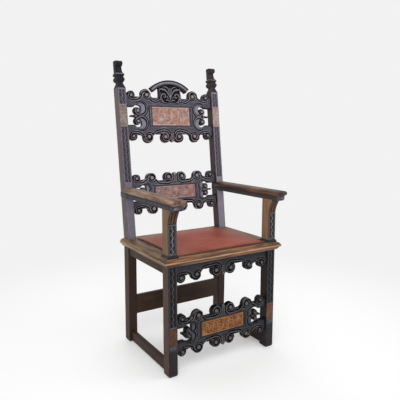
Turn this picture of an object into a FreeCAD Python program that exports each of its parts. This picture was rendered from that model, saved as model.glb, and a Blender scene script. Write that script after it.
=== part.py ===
import FreeCAD, Part
import math
import os

# Joined oak armchair with pierced scroll rails.
# X runs across the chair, Y from front to back, Z up.
# The model is drawn from the front face of the front legs and moved to the middle of its footprint at the end.

# Driving sizes in millimetres
width_over_legs = 547.0
leg_width = 40.3
front_leg_depth = 48.0
back_leg_depth = 48.0
back_leg_front = 381.5
back_leg_splay = 9.0
back_rake_degrees = 6.55
back_post_height = 692.5
foot_wear = 3.0

# Seat
seat_top = 498.0
seat_board_thickness = 36.0
seat_overhang = 21.0
seat_board_width = 82.0
seat_panel_thickness = 18.0
edge_flat_share = 0.71
pad_edge_height = 5.0
pad_crown = 7.0
pad_front = 11.0
pad_side_margin = 3.2
pad_corner_radius = 9.0
braid_width = 6.5
braid_height = 4.5

# Joints
tenon_thickness = 9.0
tenon_length = 17.0
tenon_height_share = 0.62
stub_tenon_width = 18.0
stub_tenon_length = 12.0

# Plain rails and stretchers
side_rail_thickness = 20.0
side_rail_height = 36.0
side_rail_recess = 4.5
side_stretcher_thickness = 21.0
side_stretcher_height = 43.0
side_stretcher_foot_gap = 7.0
side_stretcher_recess = 11.0
back_board_thickness = 18.0
back_board_height = 90.0
back_board_bottom = 134.0
back_board_recess = 8.0

# Carved rails
rail_thickness = 26.0
rail_recess = 8.0
field_recess = 3.0
middle_half_height = 97.5
middle_height_up_back = 202.3
front_top_half_height = 89.5
front_bottom_half_height = 98.0
front_stretcher_centre = 166.5
crest_bottom_half_height = 126.0
crest_top_half_height = 127.5
crest_drop = 125.3
outer_volute_radius = 19.5
middle_volute_radius = 25.5
centre_volute_radius = 24.5
outer_volute_share = 0.879
middle_volute_share = 0.552
centre_volute_share = 0.156
stretcher_outer_drop = 4.0
crest_outer_drop = 12.0
stretcher_outer_notch_share = 1.15
stretcher_inner_notch_share = 1.46
crest_outer_notch_share = 1.49
crest_inner_notch_share = 1.60
outer_cove_share = 0.45
inner_cove_share = 0.60
leaf_half_width = 9.0
leaf_drop = 2.0
leaf_tip_share = 0.55
eye_share = 0.36
eye_height = 2.0
eye_sides = 8

# Pierced ears between the plaques and the posts
crest_ear_radius = 17.5
crest_ear_share = 0.764
crest_ear_spacing = 24.0
crest_ear_slot = 7.5
crest_tongue_edge = 41.5
crest_spur_share = 0.91
middle_ear_radius = 16.0
middle_ear_share = 0.742
middle_ear_spacing = 16.0
middle_ear_slot = 7.0
middle_tongue_edge = 31.0
front_ear_radius = 14.5
front_ear_share = 0.753
front_ear_spacing = 11.0
front_ear_slot = 10.0
front_tongue_edge = 29.0
stretcher_spur_share = 0.88
ear_slot_start_share = 0.675
ear_slot_shift_share = 0.30
ear_hollow_share = 1.45
ear_hollow_depth = 4.0
spur_share = 0.55

# Plaques and their moulded frames
plaque_half_width = 108.0
plaque_thickness = 6.5
plaque_sink = 2.5
stretcher_plaque_half_height = 31.0
crest_plaque_half_height = 43.5
frame_side_width = 14.0
frame_edge_width = 8.5
frame_lip_share = 0.4
frame_lip_drop = 2.5
frame_thickness = 9.0

# Arched cornice and tympanum of the crest
arch_half_angle_degrees = 41.0
arch_thickness = 24.0
arch_span_share = 0.808
arch_end_rise = 5.2
arch_projection = 2.5
arch_fillet_share = 0.24
tympanum_share = 0.451
tympanum_sink = 4.0
leaf_scroll_radius = 17.0
leaf_scroll_share = 0.52

# Apron under the seat
apron_drop = 76.0
apron_outer_radius = 21.0
apron_middle_radius = 23.5
apron_centre_radius = 25.0
apron_outer_share = 0.895
apron_middle_share = 0.583
apron_floor_outer_share = 0.620
apron_floor_inner_share = 0.460
apron_cove_share = 0.50

# Arms
arm_top = 733.0
arm_board_thickness = 21.0
arm_board_outside = 10.0
arm_board_inside = 12.5
arm_reach = 60.0
arm_edge_share = 0.45
frieze_height = 22.0
frieze_outside = 1.5
frieze_reach = 54.0
frieze_nose_share = 0.5
frieze_chamfer_share = 0.27
arm_post_depth = 46.5
console_projection = 20.0
console_height = 58.0
console_lip = 9.0
plinth_projection = 5.0
plinth_height = 11.0

# Inlaid patches on the legs and back posts
inlay_thickness = 3.0
inlay_margin = 2.0
back_inlay_height = 95.0
leg_inlay_height = 76.0
leg_inlay_centre = 170.0

# Finials
finial_height = 123.0
finial_neck_share = 0.62
finial_chamfer = 20.0
finial_neck = 4.0
finial_bulb = 28.0
finial_collar = 9.0
finial_collar_overhang = 1.5
finial_console_share = 0.80
finial_console_back_share = 0.92
finial_setback = 7.0
finial_roll_radius = 12.5
finial_waist_share = 0.42
finial_peg_width = 15.0
finial_peg_length = 15.0

# Clearance between the soft seat pad and the wood round it
pad_clearance = 0.5

half_width = width_over_legs / 2
half_span = half_width - leg_width
rake = math.radians(back_rake_degrees)
seat_underside = seat_top - seat_board_thickness
overrun = leg_width


def vec(x, y, z):
    return FreeCAD.Vector(x, y, z)


def box(x0, x1, y0, y1, z0, z1):
    return Part.makeBox(x1 - x0, y1 - y0, z1 - z0, vec(x0, y0, z0))


def rod(x, z, radius, y0, y1):
    """A cylinder along Y."""
    return Part.makeCylinder(radius, y1 - y0, vec(x, y0, z), vec(0, 1, 0))


def fuse(pieces):
    return pieces[0].multiFuse(pieces[1:]).removeSplitter()


def mirror_x(shape):
    return shape.mirror(vec(0, 0, 0), vec(1, 0, 0))


def mirror_z(shape):
    return shape.mirror(vec(0, 0, 0), vec(0, 0, 1))


def both_sides(shapes):
    return shapes + [mirror_x(shape) for shape in shapes]


def lean(shape):
    """Places a shape drawn upright on the front face of the back posts, from the seat level."""
    leaning = shape.copy()
    leaning.rotate(vec(0, 0, 0), vec(1, 0, 0), -back_rake_degrees)
    leaning.translate(vec(0, back_leg_front, seat_top))
    return leaning


def lean_point(depth, height):
    """Y and Z of a point given by its depth behind the posts' front face and its height up the back."""
    y = back_leg_front + depth * math.cos(rake) + height * math.sin(rake)
    z = seat_top + height * math.cos(rake) - depth * math.sin(rake)
    return y, z


def profile(place, steps):
    """A closed face. A step is a point, or a middle and an end point of an arc."""
    edges = []
    here = steps[0]
    for step in steps[1:] + [steps[0]]:
        if isinstance(step[0], tuple):
            middle, end = step
            arc = Part.Arc(place(*here), place(*middle), place(*end))
            edges.append(arc.toShape())
        else:
            end = step
            if end != here:
                edges.append(Part.LineSegment(place(*here), place(*end)).toShape())
        here = end
    return Part.Face(Part.Wire(edges))


def across(x0, x1, steps):
    """Extrudes a side view, given as Y and Z, from x0 to x1."""
    face = profile(lambda y, z: vec(x0, y, z), steps)
    return face.extrude(vec(x1 - x0, 0, 0))


def backwards(y0, y1, steps):
    """Extrudes a front view, given as X and Z, from y0 to y1."""
    face = profile(lambda x, z: vec(x, y0, z), steps)
    return face.extrude(vec(0, y1 - y0, 0))


def upwards(z0, z1, steps):
    """Extrudes a plan, given as X and Y, from z0 to z1."""
    face = profile(lambda x, y: vec(x, y, z0), steps)
    return face.extrude(vec(0, 0, z1 - z0))


def cove(disc, floor, share, side):
    """Fills the corner between a flat floor and a volute with a concave curve that touches both."""
    x, z, radius = disc
    curve = share * radius
    above = z - floor
    reach = math.sqrt((radius + curve) ** 2 - (curve - above) ** 2)
    curve_x = x + side * reach
    top = z + (curve - above) * radius / (radius + curve)
    block = box(min(x, curve_x), max(x, curve_x), field_recess, rail_thickness, floor, top)
    return block.cut(rod(curve_x, floor + curve, curve, -overrun, rail_thickness + overrun))


# Scroll-edged rails, drawn upright about their centre with the front face at Y zero

def volute_places(half_height, outer_drop):
    """Centre and radius of the outer, middle and centre volutes of a row above the middle."""
    outer = (outer_volute_share * half_span, half_height - outer_drop - outer_volute_radius, outer_volute_radius)
    middle = (middle_volute_share * half_span, half_height - middle_volute_radius, middle_volute_radius)
    centre = (centre_volute_share * half_span, half_height - centre_volute_radius, centre_volute_radius)
    return outer, middle, centre


def notch_floors(half_height, outer_notch_share, inner_notch_share):
    """Heights of the flat floors outside and inside the middle volute."""
    return (half_height - outer_notch_share * middle_volute_radius,
            half_height - inner_notch_share * middle_volute_radius)


def eye(x, z, radius):
    """The many-sided boss in the middle of a volute, standing proud of its face."""
    reach = eye_share * radius
    turns = [math.radians(360 * number / eye_sides) for number in range(eye_sides + 1)]
    points = [vec(x + reach * math.cos(turn), -eye_height, z + reach * math.sin(turn)) for turn in turns]
    return Part.Face(Part.makePolygon(points)).extrude(vec(0, eye_height + field_recess, 0))


def half_leaf(root, tip):
    """Right half of the pointed leaf between the two centre volutes."""
    up = math.copysign(leaf_half_width, tip - root)
    return backwards(0, rail_thickness, [
        (0, root),
        (leaf_half_width, root),
        (leaf_half_width, tip - up),
        (leaf_tip_share * leaf_half_width, tip - leaf_tip_share * up / 2),
        (0, tip),
    ])


def scroll_row(half_height, outer_drop, floors, with_centre):
    """Right half of a row of volutes above the middle, with the flat field that carries it."""
    outer, middle, centre = volute_places(half_height, outer_drop)
    outer_floor, inner_floor = floors
    volutes = [outer, middle]
    pieces = [
        box(0, half_span, field_recess, rail_thickness, 0, inner_floor),
        box(middle[0], outer[0], field_recess, rail_thickness, 0, outer_floor),
        box(outer[0], half_span, field_recess, rail_thickness, 0, outer[1]),
        cove(middle, outer_floor, outer_cove_share, 1),
    ]
    if with_centre:
        volutes.append(centre)
        pieces.append(half_leaf(0, half_height - leaf_drop))
        pieces.append(cove(middle, inner_floor, inner_cove_share, -1))
    for volute in volutes:
        pieces.append(rod(*volute, 0, rail_thickness))
        pieces.append(eye(*volute))
    return pieces


def ear_cutouts(radius, share, spacing, slot, tongue_edge, tip_share):
    """Right half of the pierced side scrolls: what is cut through, and what is sunk into the face."""
    ear_x = share * half_span
    slot_radius = radius + slot
    shift = ear_slot_shift_share * slot
    start = -overrun
    end = rail_thickness + overrun
    slot_window = box(ear_slot_start_share * half_span, half_span, start, end, spacing, spacing + 2 * slot_radius)
    opening = rod(ear_x - shift, spacing + shift, slot_radius, start, end).common(slot_window)
    gap = box(ear_x, half_span, start, end, -tongue_edge, tongue_edge)
    discs = [rod(ear_x, side * spacing, radius, start, end) for side in (-1, 1)]
    spur_half = spur_share * radius
    spur = backwards(start, end, [(ear_x, -spur_half), (ear_x, spur_half), (tip_share * half_span, 0)])
    opening = opening.multiFuse([mirror_z(opening), gap]).cut(discs[0].multiFuse([discs[1], spur]))
    hollow = rod(ear_x - radius / 2, spacing + radius / 4, ear_hollow_share * radius, start,
                 field_recess + ear_hollow_depth)
    bar = box(0, half_span, start, rail_thickness, -spur_half, spur_half)
    hollow = hollow.cut(discs[1].fuse(bar))
    return opening, [hollow, mirror_z(hollow)]


def frame_pocket(plaque_half_height):
    half_x = plaque_half_width + frame_side_width
    half_z = plaque_half_height + frame_edge_width
    return box(-half_x, half_x, -overrun, frame_thickness, -half_z, half_z)


def rail_tenons(low, high):
    """Tenons at both ends of a rail, centred in its thickness, between two heights."""
    middle = (low + high) / 2
    half = tenon_height_share * (high - low) / 2
    start = (rail_thickness - tenon_thickness) / 2
    tenon = box(half_span, half_span + tenon_length, start, start + tenon_thickness, middle - half, middle + half)
    return both_sides([tenon])


def carved_rail(plaque_half_height, pieces, ear, top_floor, bottom_floor):
    """Fuses the mirrored halves, cuts the pierced ears and adds the tenons."""
    opening, hollows = ear_cutouts(*ear)
    tongue_edge = ear[4]
    rail = fuse(both_sides(pieces))
    for cut in both_sides([opening] + hollows) + [frame_pocket(plaque_half_height)]:
        rail = rail.cut(cut)
    tenons = rail_tenons(tongue_edge, top_floor) + rail_tenons(-bottom_floor, -tongue_edge)
    return fuse([rail] + tenons), tenons


def stretcher_panel(top_half_height, bottom_half_height, ear):
    """A rail with the same row of volutes above and below its plaque."""
    shares = (stretcher_outer_notch_share, stretcher_inner_notch_share)
    top_floors = notch_floors(top_half_height, *shares)
    bottom_floors = notch_floors(bottom_half_height, *shares)
    upper = scroll_row(top_half_height, stretcher_outer_drop, top_floors, True)
    lower = scroll_row(bottom_half_height, stretcher_outer_drop, bottom_floors, True)
    pieces = upper + [mirror_z(piece) for piece in lower]
    return carved_rail(stretcher_plaque_half_height, pieces, ear, top_floors[0], bottom_floors[0])


def arch_circle():
    """Height of the arch's centre and its outer radius, from its span and the height of its ends."""
    half_span_of_arch = arch_span_share * middle_volute_share * half_span
    angle = math.radians(arch_half_angle_degrees)
    radius = half_span_of_arch / math.sin(angle)
    return crest_top_half_height + arch_end_rise - radius * math.cos(angle), radius


def crest_panel():
    """The tall rail with its tympanum between two bays."""
    shares = (crest_outer_notch_share, crest_inner_notch_share)
    top_floors = notch_floors(crest_top_half_height, *shares)
    bottom_floors = notch_floors(crest_bottom_half_height, *shares)
    lower = scroll_row(crest_bottom_half_height, crest_outer_drop, bottom_floors, True)
    upper = scroll_row(crest_top_half_height, crest_outer_drop, top_floors, False)
    middle_volute = volute_places(crest_top_half_height, crest_outer_drop)[1]
    tympanum_x = tympanum_share * middle_volute[0]
    bay_radius = (middle_volute[0] - middle_volute[2] - tympanum_x) / 2
    bay_x = tympanum_x + bay_radius
    bay_z = middle_volute[1]
    arch_z, radius = arch_circle()
    shoulder = box(0, middle_volute[0], field_recess, rail_thickness, 0, bay_z)
    bay = rod(bay_x, bay_z, bay_radius, -overrun, rail_thickness + overrun)
    tympanum = box(0, tympanum_x, tympanum_sink, rail_thickness, 0, arch_z + radius)
    arch_space = rod(0, arch_z, radius - arch_thickness, 0, rail_thickness)
    leaf_scroll = (leaf_scroll_share * tympanum_x, bay_z, leaf_scroll_radius)
    pieces = [mirror_z(piece) for piece in lower] + upper
    pieces += [shoulder.cut(bay), tympanum.common(arch_space), rod(*leaf_scroll, 0, rail_thickness)]
    ear = (crest_ear_radius, crest_ear_share, crest_ear_spacing, crest_ear_slot, crest_tongue_edge, crest_spur_share)
    return carved_rail(crest_plaque_half_height, pieces, ear, top_floors[0], bottom_floors[0])


def cornice():
    """The arched moulding on the tympanum: fillet, hollow, fillet and band turned round the arch's centre."""
    arch_z, radius = arch_circle()
    inner = radius - arch_thickness
    fillet = arch_fillet_share * arch_thickness
    section = profile(lambda y, distance: vec(0, y, arch_z + distance), [
        (rail_thickness, inner),
        (arch_projection, inner),
        (0, inner + fillet),
        (arch_projection, inner + fillet + fillet / 2),
        (-arch_projection, radius - fillet),
        (-arch_projection, radius),
        (rail_thickness, radius),
    ])
    centre = vec(0, 0, arch_z)
    section.rotate(centre, vec(0, 1, 0), -arch_half_angle_degrees)
    return section.revolve(centre, vec(0, 1, 0), 2 * arch_half_angle_degrees)


def apron():
    """The scalloped rail under the seat board, drawn in place."""
    outer_x = apron_outer_share * half_span
    middle_x = apron_middle_share * half_span
    centre_x = centre_volute_share * half_span
    bottom = seat_underside - apron_drop
    outer_floor = seat_underside - apron_floor_outer_share * apron_drop
    inner_floor = seat_underside - apron_floor_inner_share * apron_drop
    volutes = [
        (outer_x, bottom + apron_outer_radius, apron_outer_radius),
        (middle_x, bottom + apron_middle_radius, apron_middle_radius),
        (centre_x, bottom + apron_centre_radius, apron_centre_radius),
    ]
    pieces = [
        box(0, half_span, field_recess, rail_thickness, inner_floor, seat_underside),
        box(middle_x, half_span, field_recess, rail_thickness, outer_floor, seat_underside),
        box(outer_x, half_span, field_recess, rail_thickness, volutes[0][1], seat_underside),
        half_leaf(inner_floor, bottom),
        mirror_z(cove((middle_x, -volutes[1][1], apron_middle_radius), -inner_floor, apron_cove_share, -1)),
        mirror_z(cove((middle_x, -volutes[1][1], apron_middle_radius), -outer_floor, apron_cove_share, 1)),
    ]
    for volute in volutes:
        pieces.append(rod(*volute, 0, rail_thickness))
        pieces.append(eye(*volute))
    rail = fuse(both_sides(pieces))
    tenons = rail_tenons(outer_floor, seat_underside)
    rail = fuse([rail] + tenons)
    rail.translate(vec(0, rail_recess, 0))
    for tenon in tenons:
        tenon.translate(vec(0, rail_recess, 0))
    return rail, tenons


def plaque_frame(plaque_half_height):
    """Moulded frame round a plaque: a high outer band and a lower lip, mitred in one ring."""
    outer_x = plaque_half_width + frame_side_width
    outer_z = plaque_half_height + frame_edge_width
    lip_x = plaque_half_width + frame_lip_share * frame_side_width
    lip_z = plaque_half_height + frame_lip_share * frame_edge_width
    ring = box(-outer_x, outer_x, 0, frame_thickness, -outer_z, outer_z)
    lip_drop = box(-lip_x, lip_x, -overrun, frame_lip_drop, -lip_z, lip_z)
    light = box(-plaque_half_width, plaque_half_width, -overrun, 2 * frame_thickness,
                -plaque_half_height, plaque_half_height)
    return ring.cut(lip_drop).cut(light)


def plaque(plaque_half_height):
    front = frame_thickness - plaque_thickness
    return box(-plaque_half_width, plaque_half_width, front, frame_thickness,
               -plaque_half_height, plaque_half_height)


# Legs and posts

def plain_tenon(x0, x1, y0, y1, z0, z1, along):
    """A tenon centred on the end of a rail whose box is given, standing out along X or Y at both ends."""
    middle_z = (z0 + z1) / 2
    half_z = tenon_height_share * (z1 - z0) / 2
    if along == "x":
        middle = (y0 + y1) / 2
        return box(x0 - tenon_length, x1 + tenon_length, middle - tenon_thickness / 2,
                   middle + tenon_thickness / 2, middle_z - half_z, middle_z + half_z)
    middle = (x0 + x1) / 2
    return box(middle - tenon_thickness / 2, middle + tenon_thickness / 2, y0 - tenon_length,
               y1 + tenon_length, middle_z - half_z, middle_z + half_z)


def plain_rail(x0, x1, y0, y1, z0, z1):
    body = box(x0, x1, y0, y1, z0, z1)
    return fuse([body, plain_tenon(x0, x1, y0, y1, z0, z1, "x")])


def leg_to_leg_rail(x0, x1, z0, z1, post_front):
    """A side rail from the front leg's back to the back leg's sloping face."""
    body = box(x0, x1, front_leg_depth, back_leg_front + back_leg_splay, z0, z1).cut(post_front)
    return fuse([body, plain_tenon(x0, x1, front_leg_depth, back_leg_front, z0, z1, "y")])


def worn_foot(leg):
    """Takes the sharp edge off the bottom of a leg."""
    edges = [edge for edge in leg.Edges if edge.BoundBox.ZMax < foot_wear / 2]
    return leg.makeChamfer(foot_wear, edges)


def cut_mortises(leg, tenoned):
    for piece in tenoned:
        leg = leg.cut(piece)
    return leg


def front_leg(tenoned):
    """Right front leg with a stub tenon into the seat board."""
    body = box(half_span, half_width, 0, front_leg_depth, 0, seat_underside)
    middle_x = half_span + leg_width / 2
    middle_y = front_leg_depth / 2
    reach = stub_tenon_width / 2
    stub = box(middle_x - reach, middle_x + reach, middle_y - reach, middle_y + reach,
               seat_underside, seat_underside + stub_tenon_length)
    leg = cut_mortises(worn_foot(body), tenoned)
    return fuse([leg.cut(leg_inlay()), stub])


def leg_inlay():
    x0 = half_span + inlay_margin
    x1 = half_width - inlay_margin
    low = leg_inlay_centre - leg_inlay_height / 2
    return box(x0, x1, 0, inlay_thickness, low, low + leg_inlay_height)


def back_inlay():
    x0 = half_span + inlay_margin
    x1 = half_width - inlay_margin
    low = back_post_height - crest_drop - back_inlay_height / 2
    return lean(box(x0, x1, 0, inlay_thickness, low, low + back_inlay_height))


def back_post(tenoned):
    """Right back post: splayed a little below the seat, leaning back above it, with a socket for the finial."""
    slope_depth = back_leg_depth * math.cos(rake)
    rear = back_leg_front + back_leg_depth
    post = across(half_span, half_width, [
        (back_leg_front + back_leg_splay, 0),
        (rear + back_leg_splay, 0),
        (rear, seat_underside),
        (rear, seat_top),
        lean_point(slope_depth, back_post_height),
        lean_point(0, back_post_height),
        (back_leg_front, seat_top),
        (back_leg_front, seat_underside),
    ])
    post = cut_mortises(worn_foot(post), tenoned)
    return post.cut(back_inlay()).cut(finial_peg())


def behind_back_legs():
    """All the space behind the front faces of the back legs, to trim what butts against them."""
    far = back_leg_front + width_over_legs
    top_y, top_z = lean_point(0, back_post_height)
    return across(-width_over_legs, width_over_legs, [
        (back_leg_front + back_leg_splay, 0),
        (far, 0),
        (far, top_z),
        (top_y, top_z),
        (back_leg_front, seat_top),
        (back_leg_front, seat_underside),
    ])


def finial_peg():
    middle_x = half_span + leg_width / 2
    middle_depth = back_leg_depth * math.cos(rake) / 2
    half = finial_peg_width / 2
    return lean(box(middle_x - half, middle_x + half, middle_depth - half, middle_depth + half,
                    back_post_height - finial_peg_length, back_post_height))


def finial():
    """Carved top of a back post: neck, square bulb, collar and a scrolled console, where two outlines cross."""
    middle_x = half_span + leg_width / 2
    half = leg_width / 2
    neck = finial_neck_share * half
    depth = back_leg_depth * math.cos(rake)
    neck_front = depth * (1 - finial_neck_share) / 2
    neck_back = depth - neck_front
    foot = back_post_height
    neck_low = foot + finial_chamfer
    bulb_low = neck_low + finial_neck
    bulb_middle = bulb_low + finial_bulb / 2
    collar_low = bulb_low + finial_bulb
    collar_high = collar_low + finial_collar
    collar_x = half + finial_collar_overhang
    console = finial_console_share * half
    top = foot + finial_height
    front_view = backwards(-overrun, depth + overrun, [
        (middle_x - half, foot),
        (middle_x + half, foot),
        (middle_x + neck, neck_low),
        (middle_x + neck, bulb_low),
        ((middle_x + half, bulb_middle), (middle_x + neck, collar_low)),
        (middle_x + collar_x, collar_low),
        (middle_x + collar_x, collar_high),
        (middle_x + console, collar_high),
        (middle_x + console, top),
        (middle_x - console, top),
        (middle_x - console, collar_high),
        (middle_x - collar_x, collar_high),
        (middle_x - collar_x, collar_low),
        (middle_x - neck, collar_low),
        ((middle_x - half, bulb_middle), (middle_x - neck, bulb_low)),
        (middle_x - neck, neck_low),
    ])
    console_back = finial_console_back_share * depth
    roll_front = finial_setback
    roll_z = top - finial_roll_radius
    roll_back = roll_front + finial_roll_radius
    waist = roll_front + finial_waist_share * (console_back - roll_front)
    collar_front = finial_setback / 2
    side_view = across(half_span - overrun, half_width + overrun, [
        (0, foot),
        (depth, foot),
        (neck_back, neck_low),
        (neck_back, bulb_low),
        ((depth, bulb_middle), (neck_back, collar_low)),
        (depth + finial_collar_overhang, collar_low),
        (depth + finial_collar_overhang, collar_high),
        (console_back, collar_high),
        (console_back, top),
        (roll_back, top),
        ((roll_front, roll_z), (roll_back, roll_z - finial_roll_radius)),
        (waist, roll_z - finial_roll_radius),
        ((waist, (roll_z + collar_high) / 2), (collar_front + finial_collar / 2, collar_high)),
        (collar_front, collar_high),
        (collar_front, collar_low),
        (neck_front, collar_low),
        ((collar_front, bulb_middle), (neck_front, bulb_low)),
        (neck_front, neck_low),
    ])
    return fuse([lean(front_view.common(side_view)), finial_peg()])


# Seat

def edge_section():
    """The moulded edge as distance inwards from its tip and height: flat top, ovolo, nosing and cove."""
    flat = edge_flat_share * seat_overhang
    height = seat_board_thickness
    step = height / 12
    nose_top = seat_top - height / 3 + step / 2
    nose_low = seat_top - height / 2 - step
    bulge = (flat + step) / 3
    return [
        (seat_board_width, seat_top),
        (seat_board_width, seat_underside),
        (seat_overhang - step, seat_underside),
        ((seat_overhang / 2, (nose_low + seat_underside) / 2 + step / 2), (step / 2, nose_low)),
        ((0, (nose_top + nose_low) / 2), (step / 2, nose_top)),
        (step, nose_top),
        ((bulge, seat_top - step), (flat, seat_top - step / 3)),
        (flat, seat_top),
    ]


def seat_boards(back_posts, stubs):
    """Front and side boards with the moulded edge, mitred at the front, and a plain back board."""
    tip_x = half_width + seat_overhang
    tip_y = -seat_overhang
    rear = back_leg_front + back_leg_depth
    inner_x = tip_x - seat_board_width
    inner_y = tip_y + seat_board_width
    section = edge_section()
    front = across(-tip_x, tip_x, [shift_step(step, tip_y, 1) for step in section])
    right = backwards(tip_y, rear, [shift_step(step, tip_x, -1) for step in section])
    diagonal = upwards(seat_underside - overrun, seat_top + overrun, [
        (tip_x + overrun, tip_y - overrun),
        (inner_x - overrun, inner_y + overrun),
        (tip_x + overrun, inner_y + overrun),
    ])
    front = front.cut(diagonal).cut(mirror_x(diagonal))
    right = right.common(diagonal.fuse(box(inner_x - overrun, tip_x + overrun, inner_y, rear + overrun,
                                           seat_underside - overrun, seat_top + overrun)))
    boards = {
        "seat_front_board": front,
        "seat_right_board": right,
        "seat_left_board": mirror_x(right),
        "seat_back_board": box(-inner_x, inner_x, rear - seat_board_width, rear, seat_underside, seat_top),
    }
    for name in boards:
        for piece in back_posts + stubs:
            boards[name] = boards[name].cut(piece)
    return boards, inner_x, inner_y, rear - seat_board_width


def shift_step(step, start, direction):
    """Turns a step of the edge section, measured inwards from the tip, into a real place."""
    if isinstance(step[0], tuple):
        return tuple((start + direction * inwards, height) for inwards, height in step)
    return (start + direction * step[0], step[1])


def pad_half_width():
    return half_span - plinth_projection - pad_side_margin


def rounded_sheet(inset, z):
    """Plan outline of the pad at one height, smaller by the inset on every side."""
    half_x = pad_half_width() - inset
    front = pad_front + inset
    back = back_leg_front - pad_clearance - inset
    radius = pad_corner_radius
    turn = radius * (1 - math.sin(math.radians(45)))
    edges = []
    corners = [(half_x, front, -1, 1), (half_x, back, -1, -1), (-half_x, back, 1, -1), (-half_x, front, 1, 1)]
    points = []
    for number, (x, y, to_x, to_y) in enumerate(corners):
        along_x = vec(x + to_x * radius, y, z)
        along_y = vec(x, y + to_y * radius, z)
        middle = vec(x + to_x * turn, y + to_y * turn, z)
        ends = (along_x, middle, along_y) if number % 2 == 0 else (along_y, middle, along_x)
        points.append(ends)
    for number, ends in enumerate(points):
        following = points[(number + 1) % len(points)]
        edges.append(Part.Arc(*ends).toShape())
        edges.append(Part.LineSegment(ends[2], following[0]).toShape())
    return Part.Wire(edges)


def seat_pad():
    """Stuffed seat: upright drawn-in sides and a low crown."""
    base = seat_top
    shoulder = base + pad_edge_height
    levels = [
        (0, base),
        (0, base + pad_edge_height * 2 / 3),
        (pad_edge_height / 2, shoulder),
        (6 * pad_crown, shoulder + pad_crown),
    ]
    wires = [rounded_sheet(inset, z) for inset, z in levels]
    return Part.makeLoft(wires, True, True)


def braid():
    """Narrow woven edging laid along the front and both sides of the pad."""
    half_x = pad_half_width()
    back = back_leg_front - pad_clearance
    outer = box(-half_x - braid_width, half_x + braid_width, pad_front - braid_width, back,
                seat_top, seat_top + braid_height)
    inner = box(-half_x, half_x, pad_front, back + overrun, seat_top, seat_top + braid_height)
    return outer.cut(inner)


# Arms

def arm_board(post_front):
    """Flat moulded arm, where its end view and its side view cross."""
    x0 = half_span - arm_board_inside
    x1 = half_width + arm_board_outside
    low = arm_top - arm_board_thickness
    edge = arm_edge_share * arm_board_thickness
    soften = edge * (1 - math.sin(math.radians(45)))
    nose = -arm_reach
    back = back_leg_front + back_leg_depth + (arm_top - seat_top) * math.tan(rake)
    end_view = backwards(nose, back, [
        (x0 + edge, low),
        (x1 - edge, low),
        ((x1 - soften, low + soften), (x1, low + edge)),
        (x1, arm_top - edge),
        ((x1 - soften, arm_top - soften), (x1 - edge, arm_top)),
        (x0 + edge, arm_top),
        ((x0 + soften, arm_top - soften), (x0, arm_top - edge)),
        (x0, low + edge),
        ((x0 + soften, low + soften), (x0 + edge, low)),
    ])
    side_view = across(x0, x1, [
        (nose + edge, low),
        (back, low),
        (back, arm_top),
        (nose + edge, arm_top),
        ((nose + soften, arm_top - soften), (nose, arm_top - edge)),
        (nose, low + edge),
        ((nose + soften, low + soften), (nose + edge, low)),
    ])
    return end_view.common(side_view).cut(post_front)


def arm_frieze(post_front):
    """Rail under the arm board, with a rounded nose, a chamfered inner edge and a stub tenon into the post."""
    x0 = half_span
    x1 = half_width + frieze_outside
    high = arm_top - arm_board_thickness
    low = high - frieze_height
    nose = -frieze_reach
    radius = frieze_nose_share * frieze_height
    chamfer = frieze_chamfer_share * frieze_height
    back = back_leg_front + back_leg_depth + (arm_top - seat_top) * math.tan(rake)
    turn = radius * (1 - math.sin(math.radians(45)))
    side_view = across(x0, x1, [
        (nose + radius, low),
        (back, low),
        (back, high),
        (nose, high),
        (nose, low + radius),
        ((nose + turn, low + turn), (nose + radius, low)),
    ])
    end_view = backwards(nose, back, [
        (x0 + chamfer, low),
        (x1, low),
        (x1, high),
        (x0, high),
        (x0, low + chamfer),
    ])
    middle_x = half_span + leg_width / 2
    half_z = tenon_height_share * frieze_height / 2
    middle_z = (low + high) / 2
    face = lean_point(0, (middle_z - seat_top) / math.cos(rake))[0]
    tenon = box(middle_x - tenon_thickness / 2, middle_x + tenon_thickness / 2,
                face - tenon_length, face + stub_tenon_length, middle_z - half_z, middle_z + half_z)
    return fuse([side_view.common(end_view).cut(post_front), tenon])


def arm_post():
    """Right arm post: plinth, shaft and the console that carries the arm."""
    x0 = half_span
    x1 = half_width
    top = arm_top - arm_board_thickness - frieze_height
    start = top - console_height
    knee = start + (console_height - console_lip) / 2
    shaft = across(x0, x1, [
        (0, seat_top),
        (arm_post_depth, seat_top),
        (arm_post_depth, top),
        (-console_projection, top),
        (-console_projection, top - console_lip),
        ((-console_projection / 3, knee), (0, start)),
    ])
    out = plinth_projection
    plinth = box(x0 - out, x1 + out, -out, arm_post_depth + out, seat_top, seat_top + plinth_height)
    plinth_edges = [edge for edge in plinth.Edges if edge.BoundBox.ZMin > seat_top + plinth_height / 2]
    plinth = plinth.makeChamfer(out * 2 / 3, plinth_edges)
    middle_x = half_span + leg_width / 2
    middle_y = arm_post_depth / 2
    reach = stub_tenon_width / 2
    stub = box(middle_x - reach, middle_x + reach, middle_y - reach, middle_y + reach,
               seat_top - stub_tenon_length, seat_top)
    top_stub = box(middle_x - reach, middle_x + reach, middle_y - reach, middle_y + reach,
                   top, top + stub_tenon_length)
    return fuse([shaft, plinth, stub, top_stub])


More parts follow.
